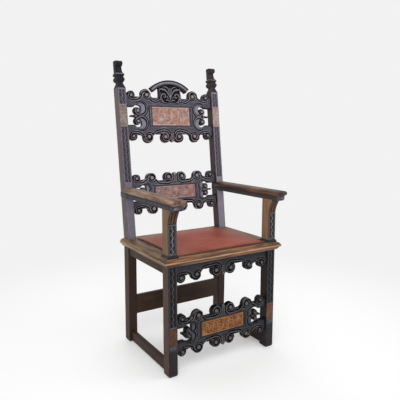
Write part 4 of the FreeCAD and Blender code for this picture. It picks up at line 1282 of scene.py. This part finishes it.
def carvedPost(name, node, place, low, high, thickness, ranges, pocket, kind, shade):
    breaks = [(low - 1, 2.0), (low + 9, stripLook["plainStep"])]
    for start, end in ranges:
        breaks += [(start - 1, stripLook["step"]), (end + 1, stripLook["plainStep"])]
    rows = gridLines(*breaks, (high - 9, 2.0), (high + 1, 0))

    def wear(z):
        return postLook["footWear"] * eased(low + postLook["footReach"] - z, 0, postLook["footReach"])

    def outline(x, z):
        return np.maximum(np.abs(x) - legWidth / 2 + wear(z), np.maximum(low - z, z - high))

    def front(x, z, depth):
        height, tone = stripRelief(x, z, ranges, stripTones[kind])
        height = height + postLook["toolMarks"] * handWork(x, z * 0.6)
        inside = block(x, z, -inlayHalf - 0.2, inlayHalf + 0.2, *pocket)
        height = np.where(inside < 0, -postLook["pocket"], height)
        patches = 0.5 + 0.5 * np.sin(z * 0.11 + 2 * np.sin(z * 0.037))
        arris = postLook["arris"] * eased(depth, 2.6, 0.8) * patches
        return -height + roundedEdge(depth) + wear(z), np.clip(tone + arris + height / 9, 0, 1)

    def back(x, z, depth):
        marks = railLook["backMarks"] * (1 + np.clip(handWork(x, z * 0.5, 0.6), -1, 1))
        return thickness - roundedEdge(depth) - marks - wear(z)

    made = sculpt(postColumns(), rows, outline, front, back, place)
    return addPiece(name, made, "carved" + kind + shade, node)


def backPostPlace(across, deep, up):
    # leans back above the seat and splays back a little below it
    upper = backPlace()(across, deep * math.cos(rake), up)
    under = np.clip((chair["seatUnderside"] - chair["seatTop"] - up) / chair["seatUnderside"], 0, 1)
    y = chair["backLegFront"] + deep + under * chair["backLegSplay"]
    lower = np.stack([across, y, up + chair["seatTop"]], 1)
    return np.where((up >= 0)[:, None], upper, lower)


for side, word, shade in sides:
    middle, half = crestSpec["up"], inlays["backHalf"]
    post = carvedPost("backPost_" + word, "back_post_" + word, shifted(backPostPlace, side * postMiddle),
                      -chair["seatTop"], chair["shoulderUpBack"], chair["backLegDepth"],
                      ((postLook["stripFrom"], middle - half - postLook["stripGap"]),
                       (middle + half + postLook["stripGap"], chair["shoulderUpBack"] - 8)),
                      (middle - half, middle + half), "Posts", shade)
    secondFinish(post, "carvedBackLegs", lambda z: z < 0.001 * chair["seatUnderside"])
    middle, half = inlays["legMiddle"], inlays["legHalf"]
    carvedPost("frontLeg_" + word, "front_leg_" + word, shifted(frontPlace(), side * postMiddle),
               0.0, chair["seatUnderside"] + 4, chair["frontLegDepth"],
               ((middle + half + postLook["legStripGap"], chair["seatUnderside"] - 3),),
               (middle - half, middle + half), "Legs", shade)
print("posts and legs are carved")


# Arm posts: a carved shaft that swells into the console under the arm, on a chamfered plinth

armPost = {"depth": 46.5, "projection": 20.0, "console": 58.0, "lip": 9.0, "top": 690.0, "plinth": 11.0,
           "plinthOut": 5.0, "stemHeight": 1.6, "ribs": 6.5, "ribDepth": 2.2, "groove": 1.6}
plinthSection = ((0, -0.5, 0.45), (0, 5.6, 0.5), (0.5, 6.4, 0.72), (2.2, 8.6, 0.5), (3.6, 9.9, 0.4),
                 (3.6, 10.6, 0.7), (4.4, 11, 0.6))  # inset, up from the seat, how pale: wear and painted highlight on the edges


def armPostPlace(across, deep, up):
    start = armPost["top"] - armPost["console"]
    rise = np.clip((up - start) / (armPost["console"] - armPost["lip"]), 0, 1)
    swell = armPost["projection"] * rise ** 1.75
    return np.stack([across, deep - swell * (1 - deep / armPost["depth"]), up], 1)


def armPostPiece(values, side, word, shade):
    low, high = chair["seatTop"] - 6, values["top"] + 4
    carvedLow, carvedHigh = chair["seatTop"] + values["plinth"] + 8, values["top"] - values["console"] - 4
    rows = gridLines((low - 1, 8.0), (carvedLow - 1, postLook["step"]), (high + 1, 0))
    consoleLow, lip = carvedHigh + 6, values["top"] - values["lip"] - 2

    def outline(x, z):
        return np.maximum(np.abs(x) - legWidth / 2, np.maximum(low - z, z - high))

    def front(x, z, depth):
        height, tone = stripRelief(x, z, ((carvedLow, carvedHigh),), stripTones["ArmPosts"],
                                   values["stemHeight"])
        height = height + postLook["toolMarks"] * handWork(x, z)
        rib = np.abs(np.abs(x) - values["ribs"])
        console = -values["ribDepth"] * eased(3.4 - rib, 0, 3.0) * eased(z, consoleLow, consoleLow + 5)
        console = console - values["groove"] * bell(z - consoleLow, 1.6)
        console = console * eased(lip - z, 0, 3) - values["groove"] * bell(z - lip, 1.6)
        height = height + console
        tone = tone + 0.14 * eased(z, consoleLow - 3, consoleLow) - 0.10 * eased(z, lip - 8, lip)
        return -height + roundedEdge(depth), np.clip(tone + height / 9, 0, 1)

    def back(x, z, depth):
        return values["depth"] - roundedEdge(depth)

    made = sculpt(postColumns(), rows, outline, front, back, shifted(armPostPlace, side * postMiddle))
    post = addPiece("armPost_" + word, made, "carvedArmPosts" + shade, "arm_post_" + word)
    secondFinish(post, "carvedConsoles" + shade, lambda z: z > 0.001 * consoleLow)


def plinthPiece(values, side, word):
    out = values["plinthOut"]
    x0, x1 = chair["halfSpan"] - out, chair["halfWidth"] + out
    y0, y1 = -out, values["depth"] + out
    points, ridge = [], []
    for inset, up, lightAndWear in plinthSection:
        a, b, c, d = x0 + inset, x1 - inset, y0 + inset, y1 - inset
        points += [(side * x, y, chair["seatTop"] + up) for x, y in ((a, c), (b, c), (b, d), (a, d))]
        ridge += [lightAndWear] * 4
    made = points, sweptFaces(len(plinthSection), 4), {"carve": [0.62] * len(points), "ridge": ridge}
    addPiece("armPostPlinth_" + word, made, "carvedLegs", sharpDegrees=30)


for side, word, shade in sides:
    armPostPiece(armPost, side, word, shade)
    plinthPiece(armPost, side, word)
print("arm posts are made")


# Arm friezes: upright flutes along the outside, a rounded nose, under each arm board

friezeSpec = {"low": 690.0, "high": 712.0, "outside": 275.0, "inside": 233.2, "front": -54.0, "armTop": 733.0,
              "chamfer": 5.9, "pitch": 11.0, "fluteDepth": 3.6, "bandDepth": 1.3, "step": 1.5}


def friezePiece(values, side, word):
    low, high, start = values["low"], values["high"], values["front"]
    lean = math.tan(rake)
    rear = chair["backLegFront"] + chair["backLegDepth"] + (values["armTop"] - chair["seatTop"]) * lean
    columns = gridLines((start - 1, values["step"]), (rear + 1, 0))
    rows = gridLines((low - 1, values["step"]), (high + 1, 0))
    nose = (high - low) * 0.5

    def outline(y, z):
        tip = np.hypot(y - start - nose, np.minimum(z - low - nose, 0)) - nose
        tip = np.maximum(tip, np.maximum(y - start - nose - 1, z - high))
        return np.minimum(block(y, z, start + nose, rear, low, high), tip)

    def front(y, z, depth):
        wave = 0.5 + 0.5 * np.cos(2 * np.pi * y / values["pitch"])
        zone = eased(z, low + 1.5, low + 4) * eased(high - z, 1.0, 4.0)
        sunk = values["fluteDepth"] * (1 - eased(wave, 0.15, 0.75)) * zone
        sunk = sunk + values["bandDepth"] * bell(z - low - 2.2, 0.9)
        return sunk + softened(0.8, depth, 2.0), np.clip(0.62 - sunk / 6, 0, 1)

    def back(y, z, depth):
        # chamfered along the underside, and let in a little where it meets the post
        chamfer = np.clip(values["chamfer"] - (z - low), 0, None)
        inPost = y > chair["backLegFront"] + (z - chair["seatTop"]) * lean + 2
        edge = softened(0.8, depth, 2.0) * (chamfer < 0.1)
        return values["outside"] - values["inside"] - chamfer - edge - 1.2 * inPost

    def place(y, deep, z):
        return np.stack([side * (values["outside"] - deep), y, z], 1)

    addPiece("armFrieze_" + word, sculpt(columns, rows, outline, front, back, place), "carvedFriezes",
             "arm_frieze_" + word)


for side, word, shade in sides:
    friezePiece(friezeSpec, side, word)
print("arm friezes are made")


# Plain boards: copies of the same solids with rounded, rubbed edges

plainBoards = (  # piece, node, finish, slot, width of the rounded edge in metres
    ("backSeatRail", "back_seat_rail", "boardAcross", "dark_oak", 0.0012),
    ("backStretcher", "back_stretcher", "boardAcross", "dark_oak", 0.0016),
    ("sideSeatRail_right", "side_seat_rail_right", "boardDeep", "dark_oak", 0.0012),
    ("sideSeatRail_left", "side_seat_rail_left", "boardDeep", "dark_oak", 0.0012),
    ("sideStretcher_right", "side_stretcher_right", "boardDeep", "dark_oak", 0.0018),
    ("sideStretcher_left", "side_stretcher_left", "boardDeep", "dark_oak", 0.0018),
    ("seatBackBoard", "seat_back_board", "goldenAcross", "golden_oak", 0.0015),
    ("seatPanel", "seat_panel", "boardAcross", "golden_oak", 0.0010),
    ("armBoard_right", "arm_board_right", "goldenRightArm", "golden_oak", 0.0012),
    ("armBoard_left", "arm_board_left", "goldenLeftArm", "golden_oak", 0.0012),
)


def wornCopy(name, node, finish, slot, width):
    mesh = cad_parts[node].data.copy()
    mesh.name = name
    shape = bmesh.new()
    shape.from_mesh(mesh)
    bmesh.ops.remove_doubles(shape, verts=shape.verts, dist=0.00001)
    bmesh.ops.dissolve_limit(shape, angle_limit=math.radians(2), verts=shape.verts, edges=shape.edges)
    sharp = [edge for edge in shape.edges
             if len(edge.link_faces) == 2 and edge.calc_face_angle(0) > math.radians(28)]
    ridgeLayer = shape.verts.layers.float.new("ridge")
    carveLayer = shape.verts.layers.float.new("carve")
    made = bmesh.ops.bevel(shape, geom=sharp, offset=width, segments=2, affect="EDGES", profile=0.6,
                           clamp_overlap=True)
    lightAndWear = set(made["verts"])
    for vert in shape.verts:
        # the rounded edges are marked paler: wear and painted highlight
        vert[ridgeLayer] = 0.64 if vert in lightAndWear else 0.5
        vert[carveLayer] = 0.5
    shape.to_mesh(mesh)
    shape.free()
    return dressed(name, mesh, finish, node, slot, 35)


for row in plainBoards:
    wornCopy(*row)
print("plain boards are softened")


# Moulded seat edge: flat top, wavy gouged ovolo, nosing and cove, mitred at the front corners

seatEdge = {"tip": 294.5, "front": -21.0, "rear": 429.5, "wave": 15.0, "gouge": 1.2, "wobble": 0.25,
            "step": 2.4}
seatSection = (  # distance inwards, height
    (82.0, 498.0), (30.0, 498.0), (18.5, 498.0), (16.6, 497.6), (15.6, 496.8), (14.6, 496.6), (13.0, 496.4),
    (11.0, 495.9), (9.0, 495.1), (7.2, 494.0), (5.6, 492.4), (4.4, 490.6), (3.4, 488.8), (3.0, 487.6),
    (1.9, 487.2), (0.8, 486.0), (0.2, 484.2), (0.0, 482.2), (0.3, 480.2), (1.1, 478.4), (2.0, 477.2),
    (4.0, 476.4), (6.2, 474.6), (8.4, 471.6), (10.6, 468.0), (13.6, 464.6), (16.4, 463.0), (17.6, 462.0),
    (30.0, 462.0), (82.0, 462.0))


def seatBoard(name, node, finish, length, placeAt):
    # placeAt turns a share along the board, distances inwards and heights into places
    values = seatEdge
    inward, high = np.array(seatSection).T
    steps = int(length / values["step"])
    across = np.clip((13.0 - inward) / 9.0, 0, 1)
    sloped = (inward < 13.2) & (inward > 3.3) & (high > 487)
    # the nosing and the top edge are painted pale: wear and painted highlight
    edge = bell(high - 482.2, 4.0) * (inward < 3) + 0.7 * (np.abs(inward - 16.6) < 1.2)
    # painted shade: lower under the nosing
    ridge = np.tile(0.5 + 0.40 * edge - 0.25 * ((high < 476) & (inward < 25)), steps + 1)
    points, carve = [], []
    for k in range(steps + 1):
        share = k / steps
        run = share * length
        line = across - 0.5 - 0.30 * math.sin(2 * math.pi * run / values["wave"])
        gouge = values["gouge"] * bell(line, 0.16) * sloped
        wobble = values["wobble"] * math.sin(run * 0.021 + 1) * (inward < 12)
        points.append(placeAt(share, inward + 0.55 * gouge + wobble, high - 0.8 * gouge))
        # painted shade in the gouges
        carve.append(0.55 - 0.32 * gouge)
    shades = {"carve": np.clip(np.concatenate(carve) + (ridge - 0.5), 0, 1), "ridge": ridge}
    made = np.vstack(points), sweptFaces(steps + 1, len(seatSection)), shades
    return addPiece(name, made, finish, node, "golden_oak", 32)


def frontBoardPlace(share, inward, high):
    return np.stack([(2 * share - 1) * (seatEdge["tip"] - inward), seatEdge["front"] + inward, high], 1)


def sideBoardPlace(side):
    def place(share, inward, high):
        start = seatEdge["front"] + inward
        y = start + share * (seatEdge["rear"] - start)
        return np.stack([side * (seatEdge["tip"] - inward), y, high], 1)
    return place


seatBoard("seatFrontBoard", "seat_front_board", "goldenAcross", 2 * seatEdge["tip"], frontBoardPlace)
for side, word, shade in sides:
    seatBoard("seatSideBoard_" + word, "seat_" + word + "_board", "goldenDeep",
              seatEdge["rear"] - seatEdge["front"], sideBoardPlace(side))
print("seat edge is moulded")


# Cushion: leather drawn down over thin stuffing, pulled in a little at every tack

cushion = {"halfX": 225.0, "front": 11.0, "back": 381.0, "corner": 9.0, "low": 498.0, "edge": 4.6,
           "crown": 5.4, "crownPower": 3.2, "tack": 27.0, "pull": 0.9, "drawIn": 2.2, "dip": 1.6,
           "folds": 0.35, "step": 5.0, "pressure": 4.0, "frames": 16, "cap": 3.2}


def swelling(x, y, z, held, values):
    # the top of the leather is blown up as cloth held at its tacks; the shift of each point comes back
    picks = [np.unique(np.append(np.arange(0, size, 2), size - 1)) for size in x.shape]
    pick = np.ix_(*picks)
    n, m = len(picks[0]), len(picks[1])
    points = np.stack([x[pick], y[pick], z[pick]], -1).reshape(-1, 3)
    mesh = bpy.data.meshes.new("clothTrial")
    mesh.from_pydata((points * 0.001).tolist(), [], sheetFaces(n, m))
    trial = bpy.data.objects.new("clothTrial", mesh)
    workbench = bpy.data.scenes.new("workbench")
    workbench.collection.objects.link(trial)
    group = trial.vertex_groups.new(name="held")
    group.add([int(k) for k in np.nonzero(held[pick].ravel())[0]], 1.0, "REPLACE")
    cloth = trial.modifiers.new("swell", "CLOTH")
    cloth.settings.quality = 5
    cloth.settings.use_pressure = True
    cloth.settings.uniform_pressure_force = values["pressure"]
    cloth.settings.effector_weights.gravity = 0
    cloth.settings.vertex_group_mass = "held"
    cloth.point_cache.frame_start = 1
    cloth.point_cache.frame_end = values["frames"]
    for number in range(1, values["frames"] + 1):
        workbench.frame_set(number)
    moved = np.zeros(n * m * 3)
    trial.evaluated_get(workbench.view_layers[0].depsgraph).data.vertices.foreach_get("co", moved)
    bpy.data.objects.remove(trial)
    bpy.data.scenes.remove(workbench)
    shift = moved.reshape(-1, 3) * 1000 - points
    length = np.maximum(np.linalg.norm(shift, axis=1), 1e-6)[:, None]
    print("cushion swells by up to", round(float(length.max()), 1), "mm before the cap")
    shift = (shift * values["cap"] * np.tanh(length / values["cap"]) / length).reshape(n, m, 3)
    across, deep = np.arange(x.shape[0]), np.arange(x.shape[1])
    wider = np.stack([[np.interp(across, picks[0], shift[:, j, k]) for j in range(m)] for k in range(3)])
    return np.stack([[np.interp(deep, picks[1], wider[k, :, i]) for i in across] for k in range(3)])


def refined(piece):
    # one step of subdivision, applied
    finer = piece.modifiers.new("finer", "SUBSURF")
    finer.levels = 1
    graph = bpy.context.evaluated_depsgraph_get()
    mesh = bpy.data.meshes.new_from_object(piece.evaluated_get(graph), preserve_all_data_layers=True,
                                           depsgraph=graph)
    piece.modifiers.remove(finer)
    piece.data = mesh
    mesh.shade_smooth()


def rimSteps(count):
    # from -1 to 1, even inside and finer near the rim
    t = np.linspace(-1, 1, count)
    return np.sign(t) * (1 - (1 - np.abs(t)) ** 1.25)


def cushionTop(values, halfX, halfY):
    # the cushion's top round its own middle, its distance from the rim and the pull of the tacks
    u, v = np.meshgrid(rimSteps(int(2 * halfX / values["step"])), rimSteps(int(2 * halfY / values["step"])),
                       indexing="ij")
    x, y = u * halfX, v * halfY
    # square corners are rounded by drawing them in along the diagonal
    corner = values["corner"]
    overX = np.clip(np.abs(x) - (halfX - corner), 0, None)
    overY = np.clip(np.abs(y) - (halfY - corner), 0, None)
    reach = np.hypot(overX, overY)
    trim = np.where(reach > corner, corner / np.maximum(reach, 1e-6), 1.0)
    x = np.sign(x) * (np.minimum(np.abs(x), halfX - corner) + overX * trim)
    y = np.sign(y) * (np.minimum(np.abs(y), halfY - corner) + overY * trim)
    # the sides draw in between the corners
    x = x - np.sign(x) * values["drawIn"] * (np.abs(u) ** 6) * (1 - v ** 2)
    y = y - np.sign(y) * values["drawIn"] * (np.abs(v) ** 6) * (1 - u ** 2)
    rim = np.minimum(halfX - np.abs(x), halfY - np.abs(y))
    crown = (1 - np.abs(u) ** values["crownPower"]) * (1 - np.abs(v) ** values["crownPower"])
    along = np.where(halfX - np.abs(x) < halfY - np.abs(y), y, x)
    tack = values["pull"] * (0.5 + 0.5 * np.cos(2 * np.pi * along / values["tack"])) * np.exp(-rim / 12.0)
    folds = values["folds"] * np.sin(x * 0.060 + 1.3 * np.sin(y * 0.022)) * np.sin(y * 0.045 + 0.8) * crown
    dip = values["dip"] * np.exp(-((x / 120) ** 2 + ((y + 10) / 95) ** 2))
    z = values["low"] + values["edge"] * domed(rim / 9.0) + values["crown"] * crown - tack - dip + folds
    return x, y, z, rim, tack


def seatCushion(values):
    middleY = (values["front"] + values["back"]) / 2
    halfX, halfY = values["halfX"], (values["back"] - values["front"]) / 2
    x, y, z, rim, tack = cushionTop(values, halfX, halfY)
    shiftX, shiftY, shiftZ = swelling(x, y, z, (rim < 0.5) & (tack > 0.55 * values["pull"]), values)
    x, y, z = x + shiftX, y + shiftY, z + shiftZ
    points = [(a, b + middleY, c) for a, b, c in zip(x.ravel(), y.ravel(), z.ravel())]
    n, m = x.shape
    faces = sheetFaces(n, m)
    # the sides go down to a flat underside in three steps
    ring = [i * m for i in range(n)] + [(n - 1) * m + j for j in range(1, m)]
    ring += [i * m + m - 1 for i in range(n - 2, -1, -1)] + list(range(m - 2, 0, -1))
    chain = [ring]
    for lift in (0.66, 0.33):
        start = len(points)
        edge = [points[k] for k in ring]
        points += [(a, b, values["low"] + (c - values["low"]) * lift) for a, b, c in edge]
        chain.append([start + k for k in range(len(ring))])
    start = len(points)
    points += [(a, b, values["low"]) for a, b, c in points[:n * m]]
    faces += [[start + corner for corner in reversed(face)] for face in faces]
    chain.append([start + k for k in ring])
    for upper, lower in zip(chain[:-1], chain[1:]):
        faces += [[upper[k - 1], lower[k - 1], lower[k], upper[k]] for k in range(len(ring))]
    shade = np.full(len(points), 0.5)
    shade[:n * m] = np.clip(0.5 - 0.35 * np.exp(-rim.ravel() / 7.0) - 0.10 * tack.ravel(), 0, 1)
    shade[n * m:] = 0.2
    wear = np.full(len(points), 0.3)
    worn = 0.62 * bell(halfX + x, 95) + 0.55 * bell(halfX - x, 60) + 0.4 * bell(halfY - y, 40)
    wear[:n * m] = np.clip(worn, 0, 0.7).ravel()
    piece = addPiece("seatCushion", (points, faces, {"carve": shade, "ridge": wear}), "leather", "seat_pad",
                     "seat_leather", 60)
    refined(piece)


seatCushion(cushion)


# Braid: a flat tape with two cords plaited along it, round the front and both sides of the cushion

braid = {"halfX": 225.0, "front": 11.0, "back": 379.0, "low": 498.2, "reach": 6.2, "tape": 1.1, "wave": 12.0,
         "cord": 1.35, "sway": 1.55, "lift": 0.7, "step": 1.5, "ring": 8}


def seatBraid(values):
    outX, outY = values["halfX"] + values["reach"] / 2, values["front"] - values["reach"] / 2
    corners = [(-outX, values["back"]), (-outX, outY), (outX, outY), (outX, values["back"])]
    line, outward = [], []
    for (x0, y0), (x1, y1) in zip(corners[:-1], corners[1:]):
        length = math.hypot(x1 - x0, y1 - y0)
        count = int(length / values["step"])
        line += [(x0 + (x1 - x0) * k / count, y0 + (y1 - y0) * k / count) for k in range(count)]
        outward += [((y1 - y0) / length, -(x1 - x0) / length)] * count
    line, outward = np.array(line + corners[-1:]), np.array(outward + outward[-1:])
    # the tape turns smoothly at the two corners
    for _ in range(3):
        outward[1:-1] = (outward[:-2] + outward[1:-1] * 2 + outward[2:]) / 4
    run = np.concatenate([[0], np.cumsum(np.hypot(*np.diff(line, axis=0).T))])
    points, faces = [], []

    def tube(middle, height, radiusSide, radiusUp):
        faces.extend(sweptFaces(len(line), values["ring"], start=len(points)))
        turns = 2 * math.pi * np.arange(values["ring"]) / values["ring"]
        for spot, across, shift, up in zip(line, outward, middle, height):
            off = shift + radiusSide * np.cos(turns)
            xs, ys = spot[0] + across[0] * off, spot[1] + across[1] * off
            points.extend(zip(xs, ys, up + radiusUp * np.sin(turns)))

    scallop = 0.35 * np.cos(4 * np.pi * run / values["wave"])
    tube(0 * run, values["low"] + 1.2 + 0 * run, values["reach"] / 2, values["tape"])
    for phase in (0, math.pi):
        turn = 2 * np.pi * run / values["wave"] + phase
        lift = values["low"] + 2.6 + values["lift"] * np.cos(turn) + 0.2 * scallop
        tube(values["sway"] * np.sin(turn), lift, values["cord"], values["cord"])
    shades = {"carve": [0.5] * len(points), "ridge": [0.5] * len(points)}
    addPiece("seatBraid", (points, faces, shades), "braid", "seat_braid", "braid", 60)


seatBraid(braid)
print("cushion and braid are made")


# Finials: carved over the plain solid's shape

finialSpec = {"foot": 692.5, "height": 123.0, "voxel": 0.0013, "rollRadius": 12.5, "setback": 7.0,
              "console": 16.1, "collarLow": 52.0, "collarHigh": 61.0, "collarTop": 66.0, "bulbLow": 24.0,
              "middleDeep": 24.0, "spiral": 5.2, "ribs": 6.4, "lobes": 9.0}


def evenMesh(node, values):
    # the plain solid as an even, slightly worn mesh, with its points in millimetres and its normals
    rough = linked("rough", node.data.copy())
    remesh = rough.modifiers.new("even", "REMESH")
    remesh.mode = "VOXEL"
    remesh.voxel_size = values["voxel"]
    smooth = rough.modifiers.new("worn", "SMOOTH")
    smooth.factor = 0.5
    smooth.iterations = 3
    bpy.context.view_layer.update()
    mesh = bpy.data.meshes.new_from_object(rough.evaluated_get(bpy.context.evaluated_depsgraph_get()))
    bpy.data.objects.remove(rough)
    points, normals = np.zeros(len(mesh.vertices) * 3), np.zeros(len(mesh.vertices) * 3)
    mesh.vertices.foreach_get("co", points)
    mesh.vertices.foreach_get("normal", normals)
    return mesh, points.reshape(-1, 3) * 1000, normals.reshape(-1, 3)


def gouged(away, width, soft=1.2):
    # 1 along a line, 0 beyond its width
    return eased(width - away, 0, soft)


def finialPiece(values, side, word):
    mesh, points, normals = evenMesh(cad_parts["finial_" + word], values)
    # back into the post's own directions: across, deep and up from the foot
    x = points[:, 0] - side * postMiddle
    y = points[:, 1] + chair["footprintShift"] - chair["backLegFront"]
    z = points[:, 2] - chair["seatTop"]
    deep = y * math.cos(rake) - z * math.sin(rake)
    up = y * math.sin(rake) + z * math.cos(rake) - values["foot"]
    deepNormal = normals[:, 1] * math.cos(rake) - normals[:, 2] * math.sin(rake)
    top, middleDeep, console = values["height"], values["middleDeep"], values["console"]
    low, high = values["collarLow"], values["collarTop"]

    # the roll at the top has a spiral on its sides, and the front under it a border and ribs
    rollDeep, rollUp = values["setback"] + values["rollRadius"], top - values["rollRadius"]
    away = np.hypot(deep - rollDeep, up - rollUp)
    turn = np.arctan2(up - rollUp, deep - rollDeep)
    pitch = values["spiral"]
    spiral = np.abs(np.mod(away - pitch * turn / (2 * math.pi) + 100, pitch) - pitch / 2)
    onSide = (away < values["rollRadius"] - 1) * (away > 3) * (np.abs(normals[:, 0]) > 0.7)
    cut = 1.5 * eased(spiral, 0.9, 1.9) * onSide
    onFront = ((deepNormal < -0.45) | (normals[:, 2] > 0.8)) * (up > values["collarHigh"] + 3)
    cut += 1.3 * gouged(np.abs(np.abs(x) - console + 4.2), 1.5) * onFront
    ribs = np.abs(np.mod(up, values["ribs"]) - values["ribs"] / 2)
    cut += 1.1 * gouged(ribs, 1.6) * onFront * (np.abs(x) < 10)

    # the bulb under the collar has lobes, and the neck under the bulb slanting cuts
    around = np.where(np.abs(normals[:, 0]) > np.abs(deepNormal), deep - middleDeep, x)
    lobes = np.abs(np.mod(around + values["lobes"] / 2, values["lobes"]) - values["lobes"] / 2)
    bulb = (up > values["bulbLow"]) & (up < low - 1) & (np.abs(normals[:, 2]) < 0.93)
    cut += 1.5 * gouged(lobes, 1.7, 1.4) * bulb
    neck = (up > 2) & (up < 21) & (np.abs(normals[:, 2]) < 0.9)
    cut += 1.2 * gouged(np.abs(np.abs(around) - 0.45 * (21 - up)), 1.6) * neck

    # the collar is drawn up into a rounded moulding with a groove under its bead
    raised = np.interp(up, (0, low - 3, low + 1, values["collarHigh"], values["collarHigh"] + 14, top),
                       (0, low - 3, low + 2, high, high + 12, top)) - up
    raised = np.where((up > 0) & (up < top), raised, 0)
    newUp = up + raised
    share = np.clip((newUp - 0.5 * (low + 1 + high)) / (0.5 * (high - low - 1)), -1, 1)
    wide = np.maximum(np.abs(x), np.abs(deep - middleDeep)) > console + 1.5
    collar = wide & (newUp > low + 0.5) & (newUp < high + 0.6)
    groove = 2.4 * bell(newUp - low - 5.0, 1.3) * collar
    squeeze = (np.where(collar, 2.8 * share ** 2 + 1.0, 0) + groove) / 27.0
    shiftDeep = -(deep - middleDeep) * squeeze

    points = points - normals * cut[:, None]
    points[:, 0] -= x * squeeze
    points[:, 1] += shiftDeep * math.cos(rake) + raised * math.sin(rake)
    points[:, 2] += raised * math.cos(rake) - shiftDeep * math.sin(rake)
    mesh.vertices.foreach_set("co", (points * 0.001).ravel())
    # painted shade in the cuts and the groove, and a painted highlight on the top of the collar
    cut = cut + groove - 0.9 * collar * eased(newUp, low + 7, low + 9)
    addShades(mesh, {"carve": 0.6 - 0.12 * cut, "ridge": np.clip(0.56 - 0.24 * cut, 0, 1)})
    # the right finial takes the lighter copy of the finish, which is painted light
    dressed("finial_carved_" + word, mesh, "carvedFinials" + ("Right" if side > 0 else ""), "finial_" + word,
            "dark_oak", 42)


for side, word, shade in sides:
    finialPiece(finialSpec, side, word)
print("finials are carved")
